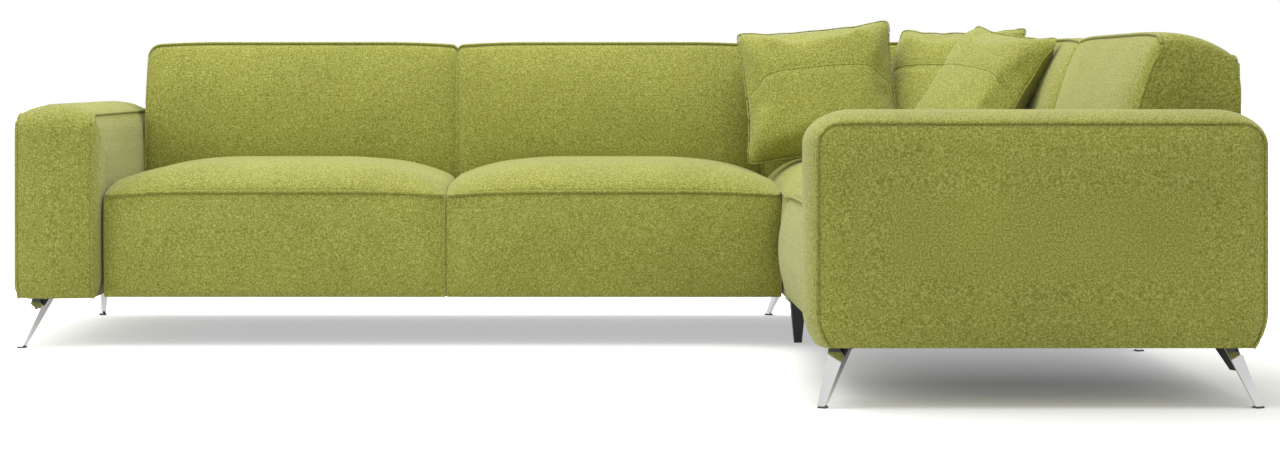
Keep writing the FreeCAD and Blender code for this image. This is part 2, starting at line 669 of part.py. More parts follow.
def wing_frame(module, wing, stop, seats):
    """Base frame, back frame, webbing and dust cover of a wing."""
    ends = ("seat_start", stop)
    between = ("rail_behind", "frame_front")
    low = ("bottom", "rail_top")
    rails = [board(wing, module + "_front_rail", ends, ("rail_front", "rail_behind"),
                   ("bottom", "spring_seat")),
             board(wing, module + "_rear_rail", ends, ("frame_front", "frame_rear"), low),
             board(wing, module + "_spring_rail", ends,
                   ("spring_rail", "spring_rail + rail_thickness"), ("rail_top", "spring_seat")),
             board(wing, module + "_joint_rail", (stop + " - rail_thickness", stop), between, low)]
    arm_rail = board(wing, module + "_arm_rail", ("seat_start", "seat_start + rail_thickness"),
                     between, low)
    rails.append(cut(module + "_arm_rail", arm_rail, arm_bolt_holes(module + "_frame", wing)))
    posts = [("seat_start", "seat_start + post_width"), (stop + " - post_width", stop)]
    if seats == 2:
        middle = ("seat_seam - rail_thickness / 2", "seat_seam + rail_thickness / 2")
        rails.append(board(wing, module + "_middle_rail", middle, between, low))
        posts.append(("seat_seam - post_width / 2", "seat_seam + post_width / 2"))
    group(module + "_base_frame", rails)
    group(module + "_back_frame", back_boards(module + "_back_frame", wing, ends, posts))
    group(module + "_webbing", webbing_bands(module + "_webbing", wing, ends))
    keep(module + "_dust_cover", board(wing, module + "_dust", ends, ("rail_front", "frame_rear"),
                                       ("arm_low", "bottom")))


def back_boards(name, wing, ends, posts):
    """Posts that stand on the rear rail and the top rail across them."""
    frame = ("frame_front", "frame_rear")
    pieces = [board(wing, "%s_post_%d" % (name, index), post, frame, ("rail_top", "top_rail_low"))
              for index, post in enumerate(posts)]
    pieces.append(board(wing, name + "_top", ends, frame, ("top_rail_low", "top_rail_high")))
    return pieces


def webbing_bands(name, wing, ends):
    """Bands of elastic webbing stretched across the front of a back frame."""
    bands = []
    room = "(top_rail_high - spring_seat - webbing_width - 2 * webbing_margin)"
    for index in range(int(SIZE["webbing_count"])):
        low = "spring_seat + webbing_margin + %d * %s / (webbing_count - 1)" % (index, room)
        bands.append(board(wing, "%s_%d" % (name, index), ends,
                           ("frame_front - webbing_thickness", "frame_front"),
                           (low, low + " + webbing_width")))
    return bands


def hook_profile(wing, depth, along):
    """Inverted hook: a plate on the end rail, a web over the receiver's lip and a tongue."""
    plate, slot = SIZE["plate_thickness"], SIZE["hook_slot"]
    high = levels.hook_top
    inner, outer = plate + slot, 2 * plate + slot
    points = [(0, high - SIZE["hook_plate_height"]), (plate, high - SIZE["hook_plate_height"]),
              (plate, high - plate), (inner, high - plate), (inner, high - SIZE["tongue_height"]),
              (outer, high - SIZE["tongue_height"]), (outer, high), (0, high)]
    return plate_solid(wing, depth, along, 1, points)


def receiver_profile(wing, depth, along):
    """Receiver: a plate on the corner's rail, a floor and a lip that the hook sits on."""
    plate, slot = SIZE["plate_thickness"], SIZE["hook_slot"]
    high = levels.hook_top
    low = high - SIZE["tongue_height"] - SIZE["tongue_room"]
    middle = 2 * SIZE["connector_space"] - plate - slot / 2
    near, far = middle - SIZE["lip_thickness"] / 2, middle + SIZE["lip_thickness"] / 2
    lip_top = high - plate - SIZE["touch_gap"]
    points = [(0, low), (far, low), (far, lip_top), (near, lip_top), (near, low + plate),
              (plate, low + plate), (plate, high), (0, high)]
    return plate_solid(wing, depth, along, -1, points)


def plate_solid(wing, depth, along, side, points):
    """Bent plate: an outline along and up, carried through the plate's width."""
    half = SIZE["plate_width"] / 2
    near = [place(wing, along + side * x, depth - half, z) for x, z in points]
    shift = place(wing, along, depth + half, 0) - place(wing, along, depth - half, 0)
    return Part.Face(Part.makePolygon(near + near[:1])).extrude(shift)


def connectors(module, wing, end):
    """Hooks on a wing's end rail and receivers on the corner's rail beside them."""
    space = SIZE["connector_space"]
    spots = [SIZE["hook_front"], SIZE["hook_rear"]]
    feature(module + "_hooks", Part.makeCompound(
        [hook_profile(wing, depth, end - space) for depth in spots]))
    return [receiver_profile(wing, depth, end + space) for depth in spots]


# Left wing.
spots = leg_spots()
spring_start = levels.rail_front + SIZE["rail_thickness"] / 2
span = SIZE["spring_span"]
arm_pad("left_arm_pad", "long")
arm_frame("left_arm_frame", "long")
arm_bolts("left_arm_bolts", "long")
wing_frame("left", "long", "left_stop", 2)
seat_pad("left_seat_pad_1", "long", SIZE["arm_width"], levels.seat_seam)
seat_pad("left_seat_pad_2", "long", levels.seat_seam, levels.left_end)
back_pad("left_back_pad_1", "long", SIZE["arm_width"], levels.seat_seam)
back_pad("left_back_pad_2", "long", levels.seat_seam, levels.left_end)
rear_panel("left_rear_panel", "long", SIZE["arm_width"], levels.left_end)
wires_1, clips_1 = springs("long", levels.seat_start, levels.seat_seam, spring_start, span)
wires_2, clips_2 = springs("long", levels.seat_seam, levels.left_stop, spring_start, span)
feature("left_seat_springs", Part.makeCompound(wires_1 + wires_2))
feature("left_spring_clips", Part.makeCompound(clips_1 + clips_2))
feature("left_glides", Part.makeCompound(legs("left", spots["left"])))
receivers = connectors("left", "long", levels.left_end)

# Right wing.
arm_pad("right_arm_pad", "side")
arm_frame("right_arm_frame", "side")
arm_bolts("right_arm_bolts", "side")
wing_frame("right", "side", "right_stop", 1)
seat_pad("right_seat_pad", "side", SIZE["arm_width"], levels.right_end)
back_pad("right_back_pad", "side", SIZE["arm_width"], levels.right_end)
rear_panel("right_rear_panel", "side", SIZE["arm_width"], levels.right_end)
wires, clips = springs("side", levels.seat_start, levels.right_stop, spring_start, span)
feature("right_seat_springs", Part.makeCompound(wires))
feature("right_spring_clips", Part.makeCompound(clips))
feature("right_glides", Part.makeCompound(legs("right", spots["right"])))
receivers += connectors("right", "side", levels.right_end)
feature("corner_receivers", Part.makeCompound(receivers))

# Corner module: a rail along each neighbour and each outside back; springs run front to back.

def corner_seat():
    """Corner seat: rounded to both wings, with a bulged cheek where its front is free."""
    front = levels.corner_side + gap
    drop_full, bulge = SIZE["seat_edge_drop"], SIZE["seat_front_bulge"]
    start = levels.right_end + half_gap

    def slab(drop):
        piping = (front, SIZE["seat_piping_height"] - drop / 5)
        crown = (front + SIZE["seat_round"], SIZE["seat_height"] - drop)
        belly = SIZE["back_belly"]
        low = levels.foam_bottom
        clear = SIZE["pad_gap"]
        top_rear = (belly_depth(crown[1], belly) - clear, crown[1])
        low_rear = (belly_depth(low, belly) - clear, low)
        height = (top_rear[1] + low_rear[1]) / 2
        middle = (belly_depth(height, belly) - clear, height)
        return [(front, low), piping, through(arc_into_level(piping, crown)), crown, top_rear,
                through(middle), low_rear]

    rises = [(away, (drop_full * share[0],)) for away, share in SEAT_ENDS]
    seat = drawn_in("side", start, levels.inner_corner, rises, slab, far_end=False)

    inner = levels.corner_side + SIZE["connector_space"] - half_gap
    end = levels.long_y - levels.side_y + SIZE["seat_recess"] - gap

    def cheek(drop, full):
        foot = (inner - gap, SIZE["leg_height"])
        piping = (front, SIZE["seat_piping_height"] - drop / 5)
        return [(inner, SIZE["leg_height"]), foot, through(bowed(foot, piping, bulge * full)),
                piping, (inner, piping[1])]

    strips = ((start, cheek(drop_full, 0.25)), (start + 26, cheek(drop_full * 0.7, 0.6)),
              (start + 70, cheek(drop_full * 0.38, 0.9)), (end, cheek(drop_full * 0.2, 0.7)))
    seat = seat.fuse(loft("side", strips))

    heights = [levels.foam_bottom - 20, levels.foam_bottom + 90, SIZE["seat_height"] + 30]
    belly, clear = SIZE["back_belly"], SIZE["pad_gap"]
    face = [(belly_depth(height, belly) - clear, height) for height in heights]
    far = SIZE["wing_depth"]
    behind = [face[0], through(face[1]), face[2], (far, heights[2]), (far, heights[0])]
    tool = loft("long", [(levels.left_end - 50, behind), (SIZE["sofa_length"], behind)], True)
    return seat.cut(tool)


def mitre(solid, keep_far):
    """Cut a back pad along the diagonal of the corner, half a seam short of it."""
    corner = place("long", SIZE["sofa_length"], SIZE["wing_depth"], 0)
    reach = SIZE["wing_depth"]
    shift = half_gap * math.sqrt(2)
    if keep_far:
        points = [(reach - shift, reach), (-reach - shift, -reach), (reach, -reach)]
    else:
        points = [(reach + shift, reach), (-reach + shift, -reach), (-reach, reach)]
    ring = [corner + FreeCAD.Vector(x, y, 0) for x, y in points]
    up = FreeCAD.Vector(0, 0, 2 * SIZE["back_height"])
    return solid.cut(Part.Face(Part.makePolygon(ring + ring[:1])).extrude(up))


def corner_back(wing, start, end):
    """Back pad of the corner: drawn in at its seam, whole up to the mitre."""
    return drawn_in(wing, start + half_gap, end, BACK_ENDS, back_section, far_end=False)


def screw_hole(name, wing, along, depth):
    """Hole of a leg screw through the dust cover into a rail."""
    return rod(wing, name, "bolt_hole", along, depth, "leg_height", "screw_length", "up")


corner_spots = (("long", "left_end + leg_top_inset", "wing_depth - leg_top_inset"),
                ("long", "sofa_length - leg_top_inset", "wing_depth - leg_top_inset"),
                ("side", "right_end + leg_top_inset", "wing_depth - leg_top_inset"))
foot_spot = ("long", "left_end + inner_foot_along", "inner_foot_depth")


def corner_holes(name):
    """The four screw holes of the corner's legs."""
    return [screw_hole("%s_screw_%d" % (name, index), *spot)
            for index, spot in enumerate(corner_spots + (foot_spot,))]


def corner_base():
    """Rails of the corner's base frame and the rail behind its springs."""
    low = ("bottom", "rail_top")
    inside = ("near_rail_behind", "frame_front")
    side = board("long", "corner_side_rail", ("corner_start", "corner_start + wide_rail_thickness"),
                 inside, low)
    near = board("long", "corner_near_rail", ("corner_start", "outer_rail"),
                 ("near_rail_front", "near_rail_behind"), ("bottom", "spring_seat"))
    rear = board("long", "corner_rear_rail", ("corner_start", "outer_rail_end"),
                 ("frame_front", "frame_rear"), low)
    outer = board("long", "corner_outer_rail", ("outer_rail", "outer_rail_end"),
                  ("near_rail_front", "frame_front"), low)
    carrier = board("long", "corner_spring_rail", ("corner_start", "outer_rail"),
                    ("spring_rail", "spring_rail + rail_thickness"), ("rail_top", "spring_seat"))
    bored_rails = [cut(rail.Name, rail, corner_holes(rail.Name)) for rail in (side, rear, outer)]
    group("corner_base_frame", bored_rails + [near, carrier])


corner_base()
far_posts = [("corner_start", "corner_start + post_width"),
             ("outer_rail_end - post_width", "outer_rail_end")]
side_posts = [("corner_near", "corner_near + post_width"),
              ("inner_corner - post_width", "inner_corner")]
group("corner_back_frame",
      back_boards("corner_far", "long", ("corner_start", "outer_rail_end"), far_posts)
      + back_boards("corner_side", "side", ("corner_near", "inner_corner"), side_posts))
group("corner_webbing",
      webbing_bands("corner_far_band", "long", ("corner_start", "outer_rail - webbing_thickness"))
      + webbing_bands("corner_side_band", "side", ("corner_near", "inner_corner - webbing_thickness")))
dust = board("long", "corner_dust", ("corner_start", "outer_rail_end"),
             ("near_rail_front", "frame_rear"), ("arm_low", "bottom"))
keep("corner_dust_cover", cut("corner_dust", dust, corner_holes("corner_dust")))
feature("corner_seat_pad", corner_seat())
far_length = SIZE["sofa_length"]
side_length = SIZE["sofa_depth"]
feature("corner_back_pad_far", mitre(corner_back("long", levels.left_end, far_length), True))
feature("corner_back_pad_side", mitre(corner_back("side", levels.right_end, side_length), False))
panel_edge = levels.frame_rear + 2 * SIZE["hem_rise"]
rear_panel("corner_rear_panel_far", "long", levels.left_end,
           far_length - SIZE["wing_depth"] + panel_edge)
rear_panel("corner_rear_panel_side", "side", levels.right_end, levels.side_panel_end)
corner_start_depth = levels.near_rail_front + SIZE["rail_thickness"] / 2
corner_span = levels.spring_rail + SIZE["rail_thickness"] / 2 - corner_start_depth
spring_side = levels.corner_start + SIZE["wide_rail_thickness"]
spring_far = SIZE["sofa_length"] - SIZE["wing_depth"] + face_line(levels.foam_bottom)
wires, clips = springs("long", spring_side, spring_far, corner_start_depth, corner_span)
feature("corner_seat_springs", Part.makeCompound(wires))
feature("corner_spring_clips", Part.makeCompound(clips))
corner_glides = legs("corner", spots["corner"])


def inner_foot():
    """Black straight foot at the inner corner: a square taper with a screw up its middle."""
    centre = place("long", levels.left_end + SIZE["inner_foot_along"], SIZE["inner_foot_depth"], 0)
    tip, top = SIZE["inner_foot_tip"] / 2, SIZE["inner_foot_top"] / 2
    high = SIZE["leg_height"] + SIZE["hem_rise"]
    low = SIZE["glide_height"]
    body = Part.makeLoft([square_wire(centre, 0, -tip, tip, low),
                          square_wire(centre, 0, -top, top, high)], True, True)
    start = FreeCAD.Vector(centre.x, centre.y, high - SIZE["foot_thread"])
    hole = Part.makeCylinder(SIZE["bolt_hole"] / 2, SIZE["foot_thread"], start)
    glide = Part.makeLoft([square_wire(centre, 0, -tip, tip, 0),
                           square_wire(centre, 0, -tip, tip, low)], True, True)
    screw = Part.makeCylinder(SIZE["bolt_size"] / 2, SIZE["foot_screw_length"], start)
    return body.cut(hole), glide, screw


foot, foot_glide, foot_screw = inner_foot()
feature("corner_inner_foot", foot)
feature("corner_foot_screw", foot_screw)
feature("corner_glides", Part.makeCompound(corner_glides + [foot_glide]))


# Throw pillows: loose, knife-edged, settled on the seats and against the backs.

def pillow():
    """Filled pillow that stands on its lower edge: lens sections, pinched at the four corners."""
    wide, tall, thick = SIZE["pillow_width"], SIZE["pillow_tall"], SIZE["pillow_thickness"]
    sections = []
    fullness = ((0, 0.06), (0.07, 0.42), (0.22, 0.82), (0.45, 1), (0.72, 0.84), (0.92, 0.42),
                (1, 0.06))
    for share, full in fullness:
        draw = 1 - 0.07 * math.sin(math.pi * share)
        half, swell = wide / 2 * draw, thick / 2 * full
        height = tall * share
        left, right = FreeCAD.Vector(-half, 0, height), FreeCAD.Vector(half, 0, height)
        front = Part.Arc(left, FreeCAD.Vector(0, -swell, height), right).toShape()
        rear = Part.Arc(right, FreeCAD.Vector(0, swell, height), left).toShape()
        sections.append(Part.Wire([front, rear]))
    return Part.makeLoft(sections, True, False)


def settle(shape, direction, others):
    """Slide a shape along a direction until it all but touches the nearest of the others."""
    for attempt in range(12):
        room = min(shape.distToShape(other)[0] for other in others) - SIZE["touch_gap"]
        if room < 0.1:
            break
        shape = shape.copy()
        shape.translate(direction * room)
    return shape


def shape_of(name):
    """Shape of a finished sub-part."""
    return [node for node in NODES if node.Label == name][0].Shape


doc.recompute()
SEATS = [shape_of("corner_seat_pad"), shape_of("left_seat_pad_2")]
BACKS = [shape_of("corner_back_pad_far"), shape_of("corner_back_pad_side"),
         shape_of("left_back_pad_2")]
DOWN = FreeCAD.Vector(0, 0, -1)
STEP_BACK = 15

# Name, spot that the lower edge is dropped on, turns (about +Z, backwards, in its own plane),
# the level direction it is pushed in, and how far it is drawn back from what it met.
PILLOWS = [
    ("throw_pillow_3", (900, 534), (-45, 26, 0), (math.sqrt(0.5), math.sqrt(0.5)), 0),
    ("throw_pillow_1", (680, 500), (-4, 24, -5.7), (0, 1), SIZE["pillow_clear"]),
    ("throw_pillow_2", (930, 345), (-66, 32, 6.5), (1, 0), 0),
]
placed = []
for name, spot, turns, push, clear in PILLOWS:
    shape = pillow()
    push = FreeCAD.Vector(push[0], push[1], 0)
    turn = FreeCAD.Rotation(turns[0], 0, 0)
    turn = turn * FreeCAD.Rotation(FreeCAD.Vector(1, 0, 0), -turns[1])
    turn = turn * FreeCAD.Rotation(FreeCAD.Vector(0, 1, 0), turns[2])
    start = FreeCAD.Vector(spot[0], spot[1], SIZE["seat_height"] + SIZE["seat_edge_drop"])
    shape.Placement = FreeCAD.Placement(start, turn)
    for attempt in range(3):
        shape = settle(settle(shape, DOWN, SEATS), push, BACKS + placed)
        if attempt < 2:
            shape.translate((DOWN + push) * -STEP_BACK)
    shape.translate(push * -clear - DOWN)
    shape = settle(shape, DOWN, SEATS)
    placed.append(shape)
    feature(name, shape)

doc.recompute()
for thing in doc.Objects:
    if "Invalid" in thing.State or "Error" in thing.State:
        raise RuntimeError("%s failed: %s" % (thing.Name, thing.State))
for node in NODES:
    if node.Shape.isNull() or not node.Shape.isValid():
        raise RuntimeError("%s has no valid shape" % node.Label)

os.makedirs("parts", exist_ok=True)
for node in NODES:
    node.Shape.exportStep("parts/%s.step" % node.Label)
print(len(NODES), "sub-parts")
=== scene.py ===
import json
import math

import bpy
import numpy as np
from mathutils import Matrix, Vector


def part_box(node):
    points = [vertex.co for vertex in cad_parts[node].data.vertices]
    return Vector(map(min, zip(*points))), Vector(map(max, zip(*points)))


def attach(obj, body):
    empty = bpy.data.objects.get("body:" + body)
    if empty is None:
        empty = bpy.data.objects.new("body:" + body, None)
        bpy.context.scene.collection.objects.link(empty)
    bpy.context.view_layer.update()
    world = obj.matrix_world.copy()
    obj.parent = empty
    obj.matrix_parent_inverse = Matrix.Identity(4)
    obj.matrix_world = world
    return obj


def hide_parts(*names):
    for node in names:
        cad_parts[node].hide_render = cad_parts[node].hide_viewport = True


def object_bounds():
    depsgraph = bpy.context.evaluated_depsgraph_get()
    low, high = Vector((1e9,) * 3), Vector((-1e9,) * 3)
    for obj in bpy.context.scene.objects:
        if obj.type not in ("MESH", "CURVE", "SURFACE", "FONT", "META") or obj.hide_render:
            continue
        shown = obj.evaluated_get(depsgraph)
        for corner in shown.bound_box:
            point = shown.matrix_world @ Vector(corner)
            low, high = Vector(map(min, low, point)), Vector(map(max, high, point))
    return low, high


# Corner sofa in three modules: a long left wing, a corner and a shorter right wing, covered in
# olive melange cloth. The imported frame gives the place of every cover. +X runs along the long
# wing, +Y to its back and +Z up, in metres.
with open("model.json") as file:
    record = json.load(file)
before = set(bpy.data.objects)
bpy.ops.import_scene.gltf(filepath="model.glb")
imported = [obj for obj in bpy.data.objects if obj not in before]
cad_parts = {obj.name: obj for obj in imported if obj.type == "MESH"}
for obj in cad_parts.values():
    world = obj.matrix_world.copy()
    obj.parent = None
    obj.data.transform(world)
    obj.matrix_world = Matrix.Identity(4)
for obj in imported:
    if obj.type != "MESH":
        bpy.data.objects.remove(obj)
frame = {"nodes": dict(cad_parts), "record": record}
cad_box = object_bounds()

# Room: a pale floor under a soft dome, a large soft lamp overhead, a small one above the near arm
# and a weak one at the left. The floor carries painted light: an emission seen by the camera. It
# lifts the shadow under the sofa a little at the front and much more further back, under the far
# wing, and it brightens the floor outside the sofa to white. The level camera stands 5.3 m in
# front of the near arm, a little above the arms.
FLOOR_REACH = 60.0
EYE = (-0.0285, -6.37, 0.683)
LENS_MM = 72.3
FRAME_SHIFT = (0.058, -0.117)
DOME = 0.70
SHOWN_FLOOR = (0.95, 0.95, 0.95, 1)
# Painted light on the floor: emission strengths that lift the floor shadow under the sofa, weak at
# the front and strong further back, between the two depths that follow.
NEAR_PAINTED_LIGHT = 0.12
FAR_PAINTED_LIGHT = 0.46
PAINTED_LIGHT_RISE = (-0.6, 0.3)
OUTSIDE = (1.9, 3.2)
LAMPS = (("overhead_lamp", (-0.4, 0.9, 3.5), (-0.1, 0.5, 0.0), (4.4, 2.2), 112.0),
         ("front_lamp", (1.0, -1.5, 3.2), (1.0, -0.9, 0.5), (1.8, 1.0), 24.0),
         ("side_lamp", (-4.0, -0.8, 3.0), (0.5, 0.2, 0.5), (2.6, 2.6), 42.0))


def node(tree, kind, **inputs):
    """New shader node with some of its inputs set by name."""
    made = tree.nodes.new(kind)
    for key, value in inputs.items():
        made.inputs[key.replace("_", " ")].default_value = value
    return made


def seen_or_mirrored(tree):
    """Socket that is 1 for camera, glossy and transmission rays and 0 for the others."""
    path = tree.nodes.new("ShaderNodeLightPath")
    first = tree.nodes.new("ShaderNodeMath")
    second = tree.nodes.new("ShaderNodeMath")
    first.operation = second.operation = "MAXIMUM"
    tree.links.new(path.outputs["Is Camera Ray"], first.inputs[0])
    tree.links.new(path.outputs["Is Glossy Ray"], first.inputs[1])
    tree.links.new(first.outputs[0], second.inputs[0])
    tree.links.new(path.outputs["Is Transmission Ray"], second.inputs[1])
    return second.outputs[0]


world = bpy.data.worlds.new("room")
bpy.context.scene.world = world
world.use_nodes = True
sky = world.node_tree
backdrop = node(sky, "ShaderNodeBackground", Color=(1, 1, 1, 1), Strength=1.0)
dome = sky.nodes["Background"]
dome.inputs["Color"].default_value = (1.0, 1.0, 0.99, 1)
dome.inputs["Strength"].default_value = DOME
sky_mix = sky.nodes.new("ShaderNodeMixShader")
sky.links.new(seen_or_mirrored(sky), sky_mix.inputs[0])
sky.links.new(dome.outputs[0], sky_mix.inputs[1])
sky.links.new(backdrop.outputs[0], sky_mix.inputs[2])
sky.links.new(sky_mix.outputs[0], sky.nodes["World Output"].inputs["Surface"])

ground = bpy.data.meshes.new("floor")
corners = [(x * FLOOR_REACH, y * FLOOR_REACH, 0) for x, y in ((-1, -1), (1, -1), (1, 1), (-1, 1))]
ground.from_pydata(corners, [], [(0, 1, 2, 3)])
floor = bpy.data.objects.new("floor", ground)
bpy.context.scene.collection.objects.link(floor)
paint = bpy.data.materials.new("floor_paint")
paint.use_nodes = True
tree = paint.node_tree
tree.nodes.remove(tree.nodes["Principled BSDF"])
matt = node(tree, "ShaderNodeBsdfDiffuse", Color=(0.8, 0.8, 0.79, 1))
shown = node(tree, "ShaderNodeBsdfDiffuse", Color=SHOWN_FLOOR)
# Painted light: a floor emission, seen by camera and mirror rays, that lifts the shadows under the
# sofa and whitens the floor around it.
pale = node(tree, "ShaderNodeEmission", Color=(1, 1, 1, 1))
place = tree.nodes.new("ShaderNodeTexCoord").outputs["Object"]
axes = tree.nodes.new("ShaderNodeSeparateXYZ")
reach = tree.nodes.new("ShaderNodeVectorMath")
reach.operation = "LENGTH"
# Painted light: the emission grows from front to back, so the far wing's shadow is lifted more
# than the near wing's.
painted_light_by_depth = node(tree, "ShaderNodeMapRange", From_Min=PAINTED_LIGHT_RISE[0], From_Max=PAINTED_LIGHT_RISE[1],
              To_Min=NEAR_PAINTED_LIGHT, To_Max=FAR_PAINTED_LIGHT)
outside = node(tree, "ShaderNodeMapRange", From_Min=OUTSIDE[0], From_Max=OUTSIDE[1])
painted_floor_light = tree.nodes.new("ShaderNodeMath")
tree.links.new(place, axes.inputs[0])
tree.links.new(place, reach.inputs[0])
tree.links.new(axes.outputs["Y"], painted_light_by_depth.inputs["Value"])
tree.links.new(reach.outputs["Value"], outside.inputs["Value"])
tree.links.new(painted_light_by_depth.outputs["Result"], painted_floor_light.inputs[0])
tree.links.new(outside.outputs["Result"], painted_floor_light.inputs[1])
tree.links.new(painted_floor_light.outputs[0], pale.inputs["Strength"])
added = tree.nodes.new("ShaderNodeAddShader")
picked = tree.nodes.new("ShaderNodeMixShader")
tree.links.new(shown.outputs[0], added.inputs[0])
tree.links.new(pale.outputs[0], added.inputs[1])
tree.links.new(seen_or_mirrored(tree), picked.inputs[0])
tree.links.new(matt.outputs[0], picked.inputs[1])
tree.links.new(added.outputs[0], picked.inputs[2])
tree.links.new(picked.outputs[0], tree.nodes["Material Output"].inputs["Surface"])
ground.materials.append(paint)

for name, spot, aim, size, power in LAMPS:
    light = bpy.data.lights.new(name, "AREA")
    light.shape = "RECTANGLE"
    light.size, light.size_y = size
    light.energy = power
    lamp = bpy.data.objects.new(name, light)
    bpy.context.scene.collection.objects.link(lamp)
    lamp.location = spot
    toward = np.subtract(aim, spot)
    lamp.rotation_euler = (math.acos(-toward[2] / np.linalg.norm(toward)), 0,
                           math.atan2(toward[1], toward[0]) - math.pi / 2)

view = bpy.data.cameras.new("camera")
view.sensor_width = 36.0
view.lens = LENS_MM
view.shift_x, view.shift_y = FRAME_SHIFT
view.clip_end = 200.0
camera = bpy.data.objects.new("camera", view)
camera.location = EYE
camera.rotation_euler = (math.pi / 2, 0, 0)
bpy.context.scene.collection.objects.link(camera)
bpy.context.scene.camera = camera
bpy.context.scene.view_settings.view_transform = "Standard"

# Cover cloth: a heavy plain weave of olive and pale yellow-green yarns twisted together, so
# that it flecks. Fine raised fibres catch the light at a slant.
CLOTH_DARK = (0.174, 0.182, 0.025, 1)
CLOTH_MID = (0.297, 0.303, 0.054, 1)
CLOTH_PALE = (0.470, 0.468, 0.146, 1)
YARN_PITCH = 0.0026
FLECK_SCALE = 250.0
CLOUD_SCALE = 5.0
WAVE_UNIT = 0.314


def ramp(tree, factor, stops):
    """Colour ramp of (place, colour) stops on a factor socket."""
    made = tree.nodes.new("ShaderNodeValToRGB")
    made.color_ramp.elements[0].position, made.color_ramp.elements[0].color = stops[0]
    made.color_ramp.elements[1].position, made.color_ramp.elements[1].color = stops[-1]
    for place, colour in stops[1:-1]:
        made.color_ramp.elements.new(place).color = colour
    tree.links.new(factor, made.inputs[0])
    return made.outputs["Color"]


def plain_weave(tree, coordinates, pitch):
    """Height of a plain weave that shows on any face: the sum of the three products of two of
    the sine waves along X, Y and Z. A wave of scale 1 repeats every WAVE_UNIT metres."""
    waves = []
    for axis in "XYZ":
        wave = tree.nodes.new("ShaderNodeTexWave")
        wave.wave_type = "BANDS"
        wave.bands_direction = axis
        wave.wave_profile = "SIN"
        wave.inputs["Scale"].default_value = WAVE_UNIT / pitch
        wave.inputs["Distortion"].default_value = 0.0
        tree.links.new(coordinates, wave.inputs["Vector"])
        waves.append(wave.outputs["Fac"])
    total = None
    for first, second in ((0, 1), (1, 2), (2, 0)):
        product = tree.nodes.new("ShaderNodeMath")
        product.operation = "MULTIPLY"
        tree.links.new(waves[first], product.inputs[0])
        tree.links.new(waves[second], product.inputs[1])
        if total is None:
            total = product.outputs[0]
            continue
        joined = tree.nodes.new("ShaderNodeMath")
        joined.operation = "ADD"
        tree.links.new(total, joined.inputs[0])
        tree.links.new(product.outputs[0], joined.inputs[1])
        total = joined.outputs[0]
    return total


def noise(tree, coordinates, scale, detail=2.0, rough=0.5):
    """Noise on the piece's own coordinates."""
    made = node(tree, "ShaderNodeTexNoise", Scale=scale, Detail=detail, Roughness=rough)
    tree.links.new(coordinates, made.inputs["Vector"])
    return made.outputs["Fac"]


def melange(name, dark, mid, pale):
    """Flecked wool-like cloth: fleck noise picks dark, mid and pale yarn, a slow cloud shifts
    it, and the weave with the flecks lifts the surface."""
    cloth = bpy.data.materials.new(name)
    cloth.use_nodes = True
    tree = cloth.node_tree
    body = tree.nodes["Principled BSDF"]
    place = tree.nodes.new("ShaderNodeTexCoord").outputs["Object"]
    flecks = noise(tree, place, FLECK_SCALE, 3.0, 0.62)
    cloud = noise(tree, place, CLOUD_SCALE, 2.0)
    yarn = ramp(tree, flecks, ((0.34, dark), (0.50, mid), (0.69, pale)))
    shade = ramp(tree, cloud, ((0.3, (0.93, 0.93, 0.93, 1)), (0.7, (1.05, 1.05, 1.05, 1))))
    tinted = tree.nodes.new("ShaderNodeMix")
    tinted.data_type = "RGBA"
    tinted.blend_type = "MULTIPLY"
    tinted.inputs["Factor"].default_value = 1.0
    tree.links.new(yarn, tinted.inputs[6])
    tree.links.new(shade, tinted.inputs[7])
    tree.links.new(tinted.outputs[2], body.inputs["Base Color"])
    weave = plain_weave(tree, place, YARN_PITCH)
    height = tree.nodes.new("ShaderNodeMath")
    height.operation = "MULTIPLY_ADD"
    height.inputs[1].default_value = 0.45
    tree.links.new(weave, height.inputs[0])
    tree.links.new(flecks, height.inputs[2])
    bump = node(tree, "ShaderNodeBump", Strength=0.35, Distance=0.0012)
    tree.links.new(height.outputs[0], bump.inputs["Height"])
    tree.links.new(bump.outputs["Normal"], body.inputs["Normal"])
    body.inputs["Roughness"].default_value = 0.92
    body.inputs["Specular IOR Level"].default_value = 0.18
    body.inputs["Sheen Weight"].default_value = 0.28
    body.inputs["Sheen Roughness"].default_value = 0.45
    body.inputs["Sheen Tint"].default_value = (1.0, 1.0, 0.86, 1)
    return cloth


cover = melange("cover_cloth", CLOTH_DARK, CLOTH_MID, CLOTH_PALE)

# Arms: a plywood box padded with foam. Two side panels are sewn to a boxing strip that runs up
# the front, over the top and down the rear, with a flat self-piped seam along both edges.
PIPING_INSET = 0.022
BOXING_BULGE = 0.022
ARM_CORNER = 0.050
SHOULDER = 2.6
ARM_PIPING = 0.590
PANEL_ROUND = 0.19
BOTTOM_TUCK = 0.026
TUCK_HEIGHT = 0.075
WELT_RADIUS = 0.0034
SEAM_GROOVE = 0.0032
RING_POINTS = 10
SIM_FRAMES = 20
low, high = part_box("left_arm_pad")
LONG_START, LONG_FRONT, HEM = low
ARM_WIDTH = high[0] - low[0]
WING_DEPTH = high[1] - low[1]
ARM_CROWN = high[2] - ARM_PIPING
SIDE_FRONT, SIDE_START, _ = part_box("right_arm_pad")[0]


def placed(wing, along, depth, up):
    """Points of the sofa for a wing's own directions: along it, back into it and up."""
    if wing == "long":
        return np.stack([LONG_START + along, LONG_FRONT + depth, up], -1)
    return np.stack([SIDE_FRONT + depth, SIDE_START + along, up], -1)


def nearness(away, reach, power):
    """Share that falls from 1 at no distance to 0 at reach, raised to a power."""
    return np.clip(1 - away / reach, 0, 1) ** power


